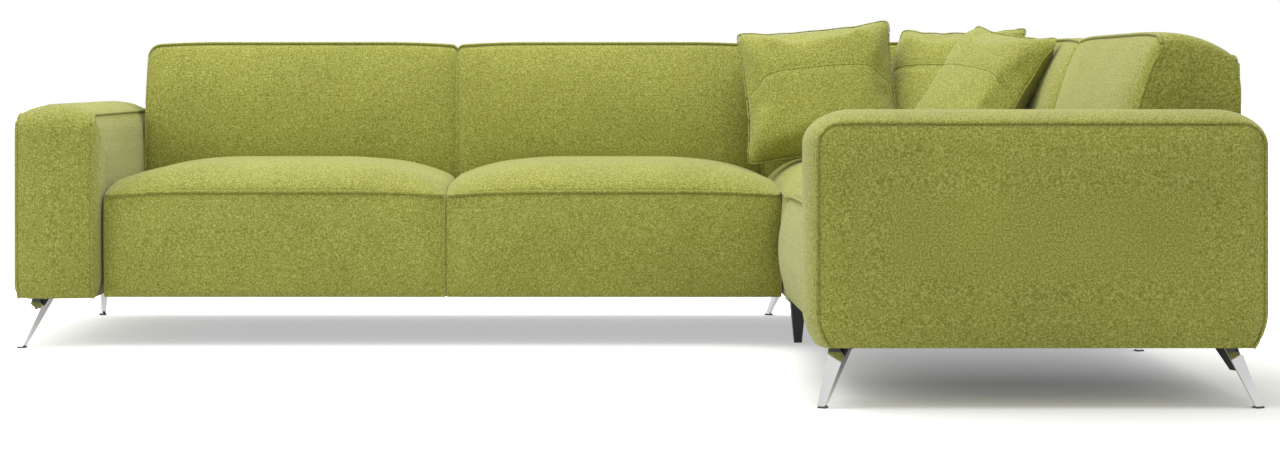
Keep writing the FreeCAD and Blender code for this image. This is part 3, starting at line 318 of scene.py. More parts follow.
def stacked(name, loops, material):
    """Closed skin through a stack of closed loops, an array of loops by points by three. Each
    end is drawn together in one point. Faces are turned outwards by the sign of the volume."""
    count, around = loops.shape[:2]
    index = np.arange(count * around).reshape(count, around)
    turned = np.roll(index, -1, 1)
    quads = np.stack([index[:-1], turned[:-1], turned[1:], index[1:]], -1).reshape(-1, 4)
    tips = np.array([loops[0].mean(0), loops[-1].mean(0)])
    first, last = count * around, count * around + 1
    near = np.stack([turned[0], index[0], np.full(around, first)], -1)
    far = np.stack([index[-1], turned[-1], np.full(around, last)], -1)
    points = np.concatenate([loops.reshape(-1, 3), tips])
    a, b, c, d = (points[quads[:, corner]] for corner in range(4))
    volume = np.einsum("ij,ij->", a - tips[0], np.cross(b - tips[0], c - tips[0]))
    volume += np.einsum("ij,ij->", a - tips[0], np.cross(c - tips[0], d - tips[0]))
    if volume < 0:
        quads, near, far = quads[:, ::-1], near[:, ::-1], far[:, ::-1]
    mesh = bpy.data.meshes.new(name)
    mesh.from_pydata(points.tolist(), [], quads.tolist() + near.tolist() + far.tolist())
    mesh.polygons.foreach_set("use_smooth", np.ones(len(mesh.polygons), bool))
    mesh.materials.append(material)
    piece = bpy.data.objects.new(name, mesh)
    bpy.context.scene.collection.objects.link(piece)
    return piece


def sewn(name, loops, wing):
    """Closed skin of cover cloth through loops given in a wing's own directions."""
    return stacked(name, placed(wing, loops[:, :, 0], loops[:, :, 1], loops[:, :, 2]), cover)


def span(node_name, wing):
    """Start and end of a node along its wing."""
    low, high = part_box(node_name)
    if wing == "long":
        return low[0] - LONG_START, high[0] - LONG_START
    return low[1] - SIDE_START, high[1] - SIDE_START


def piped(name, path, radius, body):
    """Flat self-piped seam: a thin round tube round a path. The rings stand square to the path, on
    its own direction and the nearest upright frame."""
    away = np.gradient(path, axis=0)
    away /= np.linalg.norm(away, axis=1, keepdims=True)
    guide = np.where(np.abs(away[:, 2:]) < 0.9, (0.0, 0.0, 1.0), (0.0, 1.0, 0.0))
    side = np.cross(away, guide)
    side /= np.linalg.norm(side, axis=1, keepdims=True)
    rise = np.cross(side, away)
    turn = np.linspace(0, 2 * math.pi, RING_POINTS, endpoint=False)
    ring = np.cos(turn)[:, None] * side[:, None] + np.sin(turn)[:, None] * rise[:, None]
    welt = stacked(name, path[:, None] + radius * ring, cover)
    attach(welt, body)


def resampled(path, count):
    """Points spaced evenly by length along an open line."""
    length = np.concatenate([[0], np.cumsum(np.linalg.norm(np.diff(path, axis=0), axis=1))])
    spots = np.linspace(0, length[-1], count)
    return np.stack([np.interp(spots, length, path[:, axis]) for axis in range(path.shape[1])], -1)


def swollen(piece, held, pressure, limit):
    """Let the filling swell a closed skin: cloth with pressure and no gravity runs for some
    frames with the held points still. No point moves further than limit."""
    scene = bpy.context.scene
    cloth = piece.modifiers.new("cloth", "CLOTH")
    if len(held):
        group = piece.vertex_groups.new(name="held")
        group.add([int(point) for point in held], 1.0, "REPLACE")
        cloth.settings.vertex_group_mass = "held"
    cloth.settings.quality = 4
    cloth.settings.mass = 0.25
    cloth.settings.tension_stiffness = 18.0
    cloth.settings.compression_stiffness = 18.0
    cloth.settings.shear_stiffness = 8.0
    cloth.settings.bending_stiffness = 0.6
    cloth.settings.air_damping = 2.0
    cloth.settings.use_pressure = True
    cloth.settings.uniform_pressure_force = pressure
    cloth.settings.effector_weights.gravity = 0.0
    cloth.collision_settings.use_collision = False
    for step in range(1, SIM_FRAMES + 1):
        scene.frame_set(step)
    run = piece.evaluated_get(bpy.context.evaluated_depsgraph_get()).to_mesh()
    start = np.empty(len(piece.data.vertices) * 3)
    end = np.empty_like(start)
    piece.data.vertices.foreach_get("co", start)
    run.vertices.foreach_get("co", end)
    move = (end - start).reshape(-1, 3)
    length = np.linalg.norm(move, axis=1, keepdims=True)
    move *= np.minimum(1, limit / np.maximum(length, 1e-9))
    piece.modifiers.remove(cloth)
    piece.vertex_groups.clear()
    piece.data.vertices.foreach_set("co", start + move.ravel())
    piece.data.update()
    scene.frame_set(1)


def refined(piece):
    """One subdivision, the same in the view and the render."""
    smooth = piece.modifiers.new("subdivision", "SUBSURF")
    smooth.levels = smooth.render_levels = 1


def arch(grow, lift):
    """Side view of an arm without its bottom: straight front, round corner, top, round corner
    and rear, grown outwards. The lowest part is tucked inwards by the square of its nearness
    to the hem. Returns depth and height."""
    tall = ARM_CORNER + grow
    wide = ARM_CORNER + SHOULDER * grow
    front, rear = BOXING_BULGE - grow, WING_DEPTH - BOXING_BULGE + grow
    top = ARM_PIPING + lift
    turn = np.linspace(0, math.pi / 2, 40)
    near = np.stack([front + wide * (1 - np.cos(turn)), top - tall * (1 - np.sin(turn))], -1)
    far = np.stack([rear - wide * (1 - np.sin(turn)), top - tall * (1 - np.cos(turn))], -1)
    line = np.concatenate([[[front, HEM]], near, far, [[rear, HEM]]])
    line = resampled(line, 230)
    toward = np.sign(WING_DEPTH / 2 - line[:, 0])
    line[:, 0] += BOTTOM_TUCK * nearness(line[:, 1] - HEM, TUCK_HEIGHT, 2) * toward
    return line


def with_bottom(line):
    """Close an arch with its straight bottom edge."""
    back = np.linspace(line[-1], line[0], 72)[1:-1]
    return np.concatenate([line, back])


def eased(share, power):
    """Rise from 0 to 1 that is steep at first and level at the end."""
    return 1 - (1 - np.clip(share, 0, 1)) ** power


edge = with_bottom(arch(0, 0))
middle = np.array([WING_DEPTH / 2, (HEM + ARM_PIPING) / 2])
loops = []
for share in np.concatenate([[0.02, 0.1, 0.2, 0.3, 0.4, 0.5], np.linspace(0.58, 0.985, 26)]):
    ring = middle + (edge - middle) * share
    from_side = np.minimum(ring[:, 0], WING_DEPTH - ring[:, 0]) - BOXING_BULGE
    from_edge = np.minimum(np.minimum(from_side, ARM_PIPING - ring[:, 1]), ring[:, 1] - HEM)
    bulge = (0.5 * eased(from_edge / 0.05, 2.0) + 0.5 * eased(from_edge / PANEL_ROUND, 2.0))
    bulge = bulge * (PIPING_INSET + SEAM_GROOVE / 2) - SEAM_GROOVE / 2
    loops.append(np.column_stack([PIPING_INSET - bulge, ring]))
panel = np.stack(loops)
strip = []
for across in np.concatenate([[0, 0.02], np.linspace(0.05, 0.95, 19), [0.98, 1]]):
    full = (1 - (2 * across - 1) ** 2) ** 0.75
    sunk = SEAM_GROOVE * (full < 0.01)
    ring = with_bottom(arch(BOXING_BULGE * full - sunk, ARM_CROWN * full - sunk))
    along = PIPING_INSET + across * (ARM_WIDTH - 2 * PIPING_INSET)
    strip.append(np.column_stack([np.full(len(ring), along), ring]))
far_panel = panel[::-1].copy()
far_panel[:, :, 0] = ARM_WIDTH - far_panel[:, :, 0]
arm_form = np.concatenate([panel, np.stack(strip), far_panel])

for side, wing in (("left", "long"), ("right", "side")):
    arm = sewn(side + "_arm_cover", arm_form, wing)
    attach(arm, side + "_module")
    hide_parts(side + "_arm_pad")
    line = arch(0.0012, 0.0012)
    for which, along in (("outer", PIPING_INSET), ("inner", ARM_WIDTH - PIPING_INSET)):
        path = placed(wing, np.full(len(line), along), line[:, 0], line[:, 1])
        piped("%s_arm_piping_%s" % (side, which), path, WELT_RADIUS, side + "_module")

# Seats: foam on springs under a crowned top panel, piped to a bulged front panel that runs down
# to the hem. Each seat is drawn in at its seams. The rear is cut to the bulge of the back. Point
# numbers count round a section from the hem's inner edge.
SEAT_FRONT = 0.053
SEAT_PIPING = 0.394
SEAT_CROWN = 0.464
SEAT_ROUND = 0.130
SEAT_BULGE = 0.020
SIDE_SEAT_BULGE = 0.034
SEAT_FALL = 0.060
SEAT_UNDERSIDE = 0.2983
RAIL_FACE = 0.0775
BACK_TOP = (WING_DEPTH - 0.191, 0.788)
BACK_LOW = (0.7062, 0.2993)
BACK_BELLY = 0.054
SEAT_CLEARANCE = 0.007
SEAT_PRESSURE = 2.0
SEAT_SWELL = 0.006
SEAT_SPACING = 0.012
SEAT_SEAM = 30
SEAT_FREE = ((7, 27), (34, 84))
SEAT_SOFT = ((4, 3), (48, 8), (90, 3))
SEAT_MARGIN = 9
SEAT_HUB = 0.36
SOFT_ROUNDS = 4
BELLY_ROOM = 1.02
PIPING_ENDS = 0.004


def stretch(start, end, bow, count):
    """Points from start towards end, leaving end out, on a parabola whose middle stands bow to
    the left of the straight line. start and end are arrays of (depth, height)."""
    part = np.linspace(0, 1, count, endpoint=False)[None, :, None]
    line = end - start
    normal = np.stack([-line[:, 1], line[:, 0]], -1) / np.linalg.norm(line, axis=1)[:, None]
    rise = 4 * part * (1 - part) * (normal * bow[:, None])[:, None]
    return start[:, None] + part * line[:, None] + rise


def levelled(start, end, count):
    """Points on the arc that leaves start and comes level at end, leaving end out."""
    run, rise = (end - start).T
    radius = (run ** 2 + rise ** 2) / (2 * rise)
    turn = np.arctan2(run, radius - rise)
    angle = turn[:, None] * (1 - np.linspace(0, 1, count, endpoint=False))
    return np.stack([end[:, :1] - radius[:, None] * np.sin(angle),
                     end[:, 1:] - radius[:, None] * (1 - np.cos(angle))], -1)


def face_depth(height):
    """Depth of the back's bulged face at a height: the straight line and the belly on it."""
    share = (height - BACK_LOW[1]) / (BACK_TOP[1] - BACK_LOW[1])
    line = BACK_LOW[0] + (BACK_TOP[0] - BACK_LOW[0]) * share
    return line - 4 * share * (1 - share) * BACK_BELLY * BELLY_ROOM


def softened(loops, corners, rounds):
    """Round the loops at some of their points: near each, every point moves to the middle of
    its two neighbours, again and again."""
    around = loops.shape[1]
    reach = np.zeros(around)
    for corner, width in corners:
        away = np.abs((np.arange(around) - corner + around // 2) % around - around // 2)
        reach = np.maximum(reach, np.clip(1 - away / width, 0, 1))
    for _ in range(rounds):
        middle = (np.roll(loops, 1, 1) + np.roll(loops, -1, 1)) / 2
        loops = loops + reach[None, :, None] * (middle - loops)
    return loops


def from_ends(length, spacing):
    """Stations along a run, closer together near both ends."""
    count = int(length / spacing)
    share = (1 - np.cos(np.linspace(0, math.pi, count))) / 2
    even = np.linspace(0, 1, count)
    return length * (0.6 * share + 0.4 * even)


def capped(loops, centre):
    """Add shrinking copies of the first and last loop, drawn towards a point of the section."""
    shares = np.array([0.05, 0.3, 0.6, 0.85, 0.96])[:, None, None]
    first_hub, last_hub = loops[0].copy(), loops[-1].copy()
    first_hub[:, 1:] = last_hub[:, 1:] = centre
    near = first_hub + shares * (loops[0] - first_hub)
    far = last_hub + shares[::-1] * (loops[-1] - last_hub)
    return np.concatenate([near, loops, far])


def kept_still(shape, free, margin):
    """Numbers of the points that the filling doesn't move: all but the free stretches of each
    loop, and every loop within a margin of the two ends."""
    still = np.ones(shape[:2], bool)
    for first, last in free:
        still[margin:-margin, first:last] = False
    return np.flatnonzero(still.ravel())


def crown_drop(away, sharp=0.12):
    """Fall of the crown towards a seam, of which a share comes in the last two centimetres."""
    return SEAT_FALL * (0.88 * nearness(away, 0.28, 2.6) + sharp * nearness(away, 0.02, 2))


def seat_corners(front, drop):
    """Corners of a seat's sections, by the depth of the front and the fall of the crown: the
    piping, the crown, the rear of the top and the rear of the underside."""
    level = np.zeros_like(drop)
    piping = np.stack([front, SEAT_PIPING - drop / 5], -1)
    crown = np.stack([front + SEAT_ROUND, SEAT_CROWN - drop], -1)
    top_rear = np.stack([face_depth(crown[:, 1]) - SEAT_CLEARANCE, crown[:, 1]], -1)
    low_rear = np.stack([level + face_depth(SEAT_UNDERSIDE) - SEAT_CLEARANCE,
                         level + SEAT_UNDERSIDE], -1)
    return piping, crown, top_rear, low_rear


def seat_section(away, bulge, fade):
    """Sections of a seat at distances from its nearer seam. The crown falls towards the seam,
    and the bulge of the front fades there."""
    full = 1 - fade * nearness(away, 0.15, 2.4)
    front = SEAT_FRONT + 0.012 * nearness(away, 0.07, 2.2)
    still = np.zeros_like(away)
    piping, crown, top_rear, low_rear = seat_corners(front, crown_drop(away))
    inner_low = np.stack([still + RAIL_FACE, still + HEM], -1)
    foot = np.stack([front + 0.005, still + HEM], -1)
    inner = np.stack([still + RAIL_FACE, still + SEAT_UNDERSIDE], -1)
    loops = np.concatenate([
        stretch(inner_low, foot, still, 4), stretch(foot, piping, bulge * full, 26),
        levelled(piping, crown, 18), stretch(crown, top_rear, still, 42),
        stretch(top_rear, low_rear, still + 0.004, 14), stretch(low_rear, inner, still, 30),
        stretch(inner, inner_low, still, 14)], 1)
    loops = softened(loops, SEAT_SOFT, SOFT_ROUNDS)
    loops[:, SEAT_SEAM] += (SEAM_GROOVE, -SEAM_GROOVE)
    return loops, piping


def seat(name, node_name, wing, body, bulge, fade):
    """One seat between its node's two seams, with the piping along its front and sides."""
    start, end = span(node_name, wing)
    stations = from_ends(end - start, SEAT_SPACING)
    section, piping = seat_section(np.minimum(stations, end - start - stations), bulge, fade)
    along = np.broadcast_to((start + stations)[:, None, None], section.shape[:2] + (1,))
    loops = capped(np.concatenate([along, section], 2), (RAIL_FACE - 0.002, SEAT_HUB))
    pad = sewn(name, loops, wing)
    swollen(pad, kept_still(loops.shape, SEAT_FREE, SEAT_MARGIN), SEAT_PRESSURE, SEAT_SWELL)
    refined(pad)
    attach(pad, body)
    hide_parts(node_name)
    front = np.column_stack([start + stations, piping + (-0.001, 0.001)])[2:-2]
    side = np.linspace(piping[0, 0] + 0.55, piping[0, 0] + 0.012, 40)
    left = np.column_stack([np.full(40, start + PIPING_ENDS), side,
                            np.full(40, piping[0, 1] + 0.004)])
    right = left[::-1] + (end - start - 2 * PIPING_ENDS, 0, 0)
    path = resampled(np.concatenate([left, front, right]), 260)
    piped(name + "_piping", placed(wing, *path.T), WELT_RADIUS, body)


for name, node_name, wing, body, bulge, fade in (
        ("left_seat_1", "left_seat_pad_1", "long", "left_module", SEAT_BULGE, 0.75),
        ("left_seat_2", "left_seat_pad_2", "long", "left_module", SEAT_BULGE, 0.75),
        ("right_seat", "right_seat_pad", "side", "right_module", SIDE_SEAT_BULGE, 0.4)):
    seat(name, node_name, wing, body, bulge, fade)

# Corner seat: the right seat's section, carried on to the far back, whose bulge cuts it off. Its
# front shows only as a cheek beside the long wing's seats.
FAR_BACK = LONG_FRONT - SIDE_START
CHEEK_END = FAR_BACK + 0.032
CHEEK_DEPTH = 0.006
CORNER_SPAN = 0.7
CORNER_SOFT = ((28, 8), (68, 3))
CORNER_SEAM = 10
start = span("corner_seat_pad", "side")[0]
edge_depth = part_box("corner_back_pad_far")[0][0] - SIDE_FRONT
stations = np.concatenate([[0, 0.004, 0.01, 0.018], np.linspace(0.028, 1, 60)])
drop = crown_drop(stations * CORNER_SPAN)
still = np.zeros_like(drop)
low_front = np.stack([still + edge_depth, still + SEAT_UNDERSIDE], -1)
piping, crown, top_rear, low_rear = seat_corners(still + edge_depth, drop)
section = np.concatenate([
    stretch(low_front, piping, still, 10), levelled(piping, crown, 18),
    stretch(crown, top_rear, still, 40), stretch(top_rear, low_rear, still + 0.004, 14),
    stretch(low_rear, low_front, still, 40)], 1)
section = softened(section, CORNER_SOFT, SOFT_ROUNDS)
far_end = FAR_BACK + face_depth(section[:, :, 1]) - SEAT_CLEARANCE
along = start + stations[:, None] * (far_end - start)
loops = capped(np.concatenate([along[:, :, None], section], 2), (edge_depth + 0.2, SEAT_HUB))
corner_seat = sewn("corner_seat", loops, "side")
refined(corner_seat)
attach(corner_seat, "corner_module")
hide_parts("corner_seat_pad")
path = np.column_stack([along[:, CORNER_SEAM], piping + (-0.001, 0.001)])
side = np.linspace(edge_depth + 0.5, edge_depth + 0.01, 30)
side_path = np.column_stack([np.full(30, start + PIPING_ENDS), side,
                             np.full(30, piping[0, 1] + 0.004)])
path = resampled(np.concatenate([side_path, path[2:]]), 200)
piped("corner_seat_piping", placed("side", *path.T), WELT_RADIUS, "corner_module")

away = np.linspace(0, 1, 16) * (CHEEK_END - start)
full = 1 - 0.75 * nearness(away, 0.12, 2.4)
still = np.zeros_like(away)
inner_depth = edge_depth + CHEEK_DEPTH
inner_low = np.stack([still + inner_depth, still + HEM], -1)
foot = np.stack([still + inner_depth - 0.001, still + HEM], -1)
top = seat_corners(still + edge_depth, crown_drop(away, sharp=0))[0]
inner_top = np.stack([still + inner_depth, top[:, 1]], -1)
section = np.concatenate([
    stretch(inner_low, foot, still, 2), stretch(foot, top, SEAT_BULGE / 2 * full, 26),
    stretch(top, inner_top, still, 2), stretch(inner_top, inner_low, still, 20)], 1)
along = np.broadcast_to((start + away)[:, None, None], section.shape[:2] + (1,))
loops = capped(np.concatenate([along, section], 2), (inner_depth - 0.004, 0.28))
cheek = sewn("corner_seat_cheek", loops, "side")
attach(cheek, "corner_module")

# Backs: foam over webbing in one cover. The face bulges, its top slopes to the rear, and each
# end is closed by a boxing panel sewn in with a piped seam. The corner's two backs meet in a
# mitre.
BACK_REAR = (WING_DEPTH - 0.021, 0.731)
BACK_CROWN = 0.016
CAP_BOTTOM = 0.715
BACK_INNER = 0.878
BACK_SPACING = 0.012
BACK_PRESSURE = 2.0
BACK_SWELL = 0.006
BACK_SEAM = 60
BACK_REAR_SEAM = 78
BACK_FREE = ((18, 57), (63, 76))
BACK_SOFT = ((58, 4), (62, 4), (78, 2))
BACK_ROUNDS = 5
BACK_MARGIN = 14
BACK_HUB = (0.84, 0.6)
END_RUN = slice(20, 58)
PIPING_TAIL = (0.60, 0.66)
BACK_END_STEPS = np.array([0.0015, 0.004, 0.008, 0.014])
MITRE_CLEARANCE = 0.0008


def corner_fall(away, radius):
    """Fall of the top edge towards an end: a quarter circle and a slow sag before it."""
    inside = np.clip(radius - away, 0, radius)
    return radius - np.sqrt(radius ** 2 - inside ** 2) + 0.008 * nearness(away, 0.2, 2)


def back_section(away, drop):
    """Sections of a back at distances from its nearer open end, with the fall of its top edge
    there. The belly is full from sixteen centimetres on."""
    full = 1 - 0.45 * nearness(away, 0.16, 2.6)
    still = np.zeros_like(away)
    draw = 0.006 * nearness(away, 0.03, 2)
    low = np.stack([BACK_LOW[0] + draw, still + BACK_LOW[1]], -1)
    lean = (BACK_TOP[0] - BACK_LOW[0]) / (BACK_TOP[1] - BACK_LOW[1])
    top = np.stack([BACK_TOP[0] + draw - lean * drop, BACK_TOP[1] - drop], -1)
    rear = np.stack([still + BACK_REAR[0], BACK_REAR[1] - drop / 2.2], -1)
    lip = np.stack([still + BACK_REAR[0], np.minimum(still + CAP_BOTTOM, rear[:, 1] - 0.002)], -1)
    inner_top = np.stack([still + BACK_INNER, lip[:, 1]], -1)
    inner_low = np.stack([still + BACK_INNER, still + BACK_LOW[1]], -1)
    loops = np.concatenate([
        stretch(inner_low, low, still, 14), stretch(low, top, BACK_BELLY * full, 46),
        stretch(top, rear, BACK_CROWN + still, 18), stretch(rear, lip, still, 3),
        stretch(lip, inner_top, still, 7), stretch(inner_top, inner_low, still, 30)], 1)
    loops = softened(loops, BACK_SOFT, BACK_ROUNDS)
    seam, rear_seam = loops[:, BACK_SEAM].copy(), loops[:, BACK_REAR_SEAM].copy()
    loops[:, BACK_SEAM] += (SEAM_GROOVE, -SEAM_GROOVE)
    return loops, seam, rear_seam


def back(name, node_name, wing, body, mitred, rounds):
    """One back between its node's seams, with the piping round its face and along its rear top
    edge. A mitred one runs up to the corner's diagonal, which each point meets at its own
    depth. rounds are the radii of the face's two top corners."""
    start, end = span(node_name, wing)
    stations = from_ends(end - start, BACK_SPACING)
    stations = np.unique(np.concatenate([stations, BACK_END_STEPS, [0.022],
                                         end - start - BACK_END_STEPS]))
    to_end = end - start - stations
    away = stations if mitred else np.minimum(stations, to_end)
    drop = corner_fall(stations, rounds[0])
    if not mitred:
        drop = np.maximum(drop, corner_fall(to_end, rounds[1]))
    section, seam, rear_seam = back_section(away, drop)
    if mitred:
        corner = (cad_box[1][0] - LONG_START) if wing == "long" else (cad_box[1][1] - SIDE_START)
        finish = corner - WING_DEPTH + section[:, :, 0] - MITRE_CLEARANCE
    else:
        finish = np.full(section.shape[:2], end)
    along = start + (stations / stations[-1])[:, None] * (finish - start)
    loops = capped(np.concatenate([along[:, :, None], section], 2), BACK_HUB)
    pad = sewn(name, loops, wing)
    swollen(pad, kept_still(loops.shape, BACK_FREE, BACK_MARGIN), BACK_PRESSURE, BACK_SWELL)
    refined(pad)
    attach(pad, body)
    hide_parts(node_name)
    edge = np.column_stack([along[:, BACK_SEAM], seam + (-0.0008, 0.0008)])
    rise = np.column_stack([along[0, END_RUN], section[0, END_RUN]])
    runs = [rise + (0.001, -0.001, 0), edge]
    if not mitred:
        fall = np.column_stack([along[-1, END_RUN], section[-1, END_RUN]])[::-1]
        runs.append(fall + (-0.001, -0.001, 0))
    path = resampled(np.concatenate(runs), 320)
    piped(name + "_face_piping", placed(wing, *path.T), WELT_RADIUS, body)
    ends = along[[0, -1], BACK_REAR_SEAM] + (0.001, -0.001)
    low_rear = np.array([[ends[0], BACK_REAR[0] + 0.001, height]
                         for height in PIPING_TAIL])
    runs = [low_rear, np.column_stack([along[:, BACK_REAR_SEAM], rear_seam + (0.001, 0.001)])]
    if not mitred:
        runs.append(low_rear[::-1] + (ends[1] - ends[0], 0, 0))
    path = resampled(np.concatenate(runs), 240)
    piped(name + "_rear_piping", placed(wing, *path.T), WELT_RADIUS, body)


def end_panel(name, wing, along, thick, depths, top, body):
    """Flat cloth panel that closes an end of a back beside the frame, from the seat's underside
    up to the cap: its outline follows the face and the slope of the top."""
    outline = np.column_stack([depths, top])
    outline = resampled(np.concatenate([outline, outline[:1]]), 90)[:-1]
    loops = np.stack([np.column_stack([np.full(len(outline), spot), outline])
                      for spot in (along, along + thick / 2, along + thick)])
    loops = capped(loops, outline.mean(0))
    panel = sewn(name, loops, wing)
    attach(panel, body)


for name, node_name, wing, body, mitred, rounds in (
        ("left_back_1", "left_back_pad_1", "long", "left_module", False, (0.034, 0.016)),
        ("left_back_2", "left_back_pad_2", "long", "left_module", False, (0.016, 0.016)),
        ("right_back", "right_back_pad", "side", "right_module", False, (0.034, 0.016)),
        ("corner_back_far", "corner_back_pad_far", "long", "corner_module", True, (0.016, 0)),
        ("corner_back_side", "corner_back_pad_side", "side", "corner_module", True, (0.016, 0))):
    back(name, node_name, wing, body, mitred, rounds)

JOINT_GAP = 0.0045
OVER_ARM = ((0.845, 0.949, 0.949, 0.845), (0.50, 0.50, 0.7125, 0.742))
AT_JOINT = ((0.8795, 0.9487, 0.9487, 0.8795), (0.232, 0.232, 0.7135, 0.7135))
long_joint = span("left_back_pad_2", "long")[1]
side_joint = span("right_back_pad", "side")[1]
for name, wing, along, thick, outline, body in (
        ("left_back_end", "long", ARM_WIDTH - 0.0006, 0.0011, OVER_ARM, "left_module"),
        ("right_back_end", "side", ARM_WIDTH - 0.0006, 0.0011, OVER_ARM, "right_module"),
        ("left_joint_end", "long", long_joint - JOINT_GAP, 0.0012, AT_JOINT, "left_module"),
        ("right_joint_end", "side", side_joint - JOINT_GAP, 0.0012, AT_JOINT, "right_module"),
        ("corner_joint_end_far", "long", long_joint + JOINT_GAP, 0.0012, AT_JOINT,
         "corner_module"),
        ("corner_joint_end_side", "side", side_joint + JOINT_GAP, 0.0012, AT_JOINT,
         "corner_module")):
    end_panel(name, wing, along, thick, *outline, body)

# Outside backs: a lightly padded panel tacked over the rear of the frame, from the cap of the
# back down to the hem, swelling a little between its edges.
OUTSIDE_SPACING = 0.02
OUTSIDE_EDGE = 0.0045
OUTSIDE_BULGE = 0.020


def rear_panel(name, node_name, wing, body):
    """Panel whose outer face swells by the product of two arcs, along and up."""
    low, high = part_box(node_name)
    start, end = span(node_name, wing)
    inner = (low[1] - LONG_FRONT) if wing == "long" else (low[0] - SIDE_FRONT)
    stations = from_ends(end - start, OUTSIDE_SPACING)
    away = np.minimum(stations, end - start - stations)
    full = 1 - 0.9 * nearness(away, 0.25, 2.5)
    still = np.zeros_like(away)
    edge_depth = inner + OUTSIDE_EDGE
    corners = [np.stack([still + depth, still + height], -1) for depth, height in (
        (inner, low[2]), (inner, high[2]), (edge_depth, high[2]), (edge_depth, low[2]))]
    loops = np.concatenate([
        stretch(corners[0], corners[1], still, 20), stretch(corners[1], corners[2], still, 2),
        stretch(corners[2], corners[3], OUTSIDE_BULGE * full, 50),
        stretch(corners[3], corners[0], still, 2)], 1)
    along = np.broadcast_to((start + stations)[:, None, None], loops.shape[:2] + (1,))
    loops = capped(np.concatenate([along, loops], 2), (inner + 0.002, 0.42))
    panel = sewn(name, loops, wing)
    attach(panel, body)
    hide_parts(node_name)


for name, node_name, wing, body in (
        ("left_outside_back", "left_rear_panel", "long", "left_module"),
        ("right_outside_back", "right_rear_panel", "side", "right_module"),
        ("corner_outside_back_far", "corner_rear_panel_far", "long", "corner_module"),
        ("corner_outside_back_side", "corner_rear_panel_side", "side", "corner_module")):
    rear_panel(name, node_name, wing, body)

# Throw pillows: two squares of the same cloth sewn into a knife edge and loosely filled, with
# one flat seam across the front. They stand on their lower edges and lean on the backs.
PILLOW_WIDTH = 0.425
PILLOW_TALL = 0.390
PILLOW_THICK = 0.145
PILLOW_TURNS = {"throw_pillow_1": (-4, 24, -5.7), "throw_pillow_2": (-66, 32, 6.5),
                "throw_pillow_3": (-45, 26, 0)}
PILLOW_GRID = 44
PILLOW_PRESSURE = 5.0
PILLOW_SWELL = 0.030
PILLOW_SEAM = 0.22
PILLOW_SEAM_FALL = 0.24
PILLOW_CUT = 0.53
PILLOW_FOLDS = 0.0022
SECOND_SEAM = 0.045
SMOOTHING = 5


def turned(points, axis, degrees):
    """Points turned about one axis through the origin."""
    angle = math.radians(degrees)
    first, second = [(1, 2), (2, 0), (0, 1)][axis]
    result = points.copy()
    result[:, first] = points[:, first] * math.cos(angle) - points[:, second] * math.sin(angle)
    result[:, second] = points[:, first] * math.sin(angle) + points[:, second] * math.cos(angle)
    return result


def grid_faces(index):
    """Faces of a grid of point numbers."""
    return np.stack([index[:-1, :-1], index[1:, :-1], index[1:, 1:], index[:-1, 1:]],
                    -1).reshape(-1, 4)


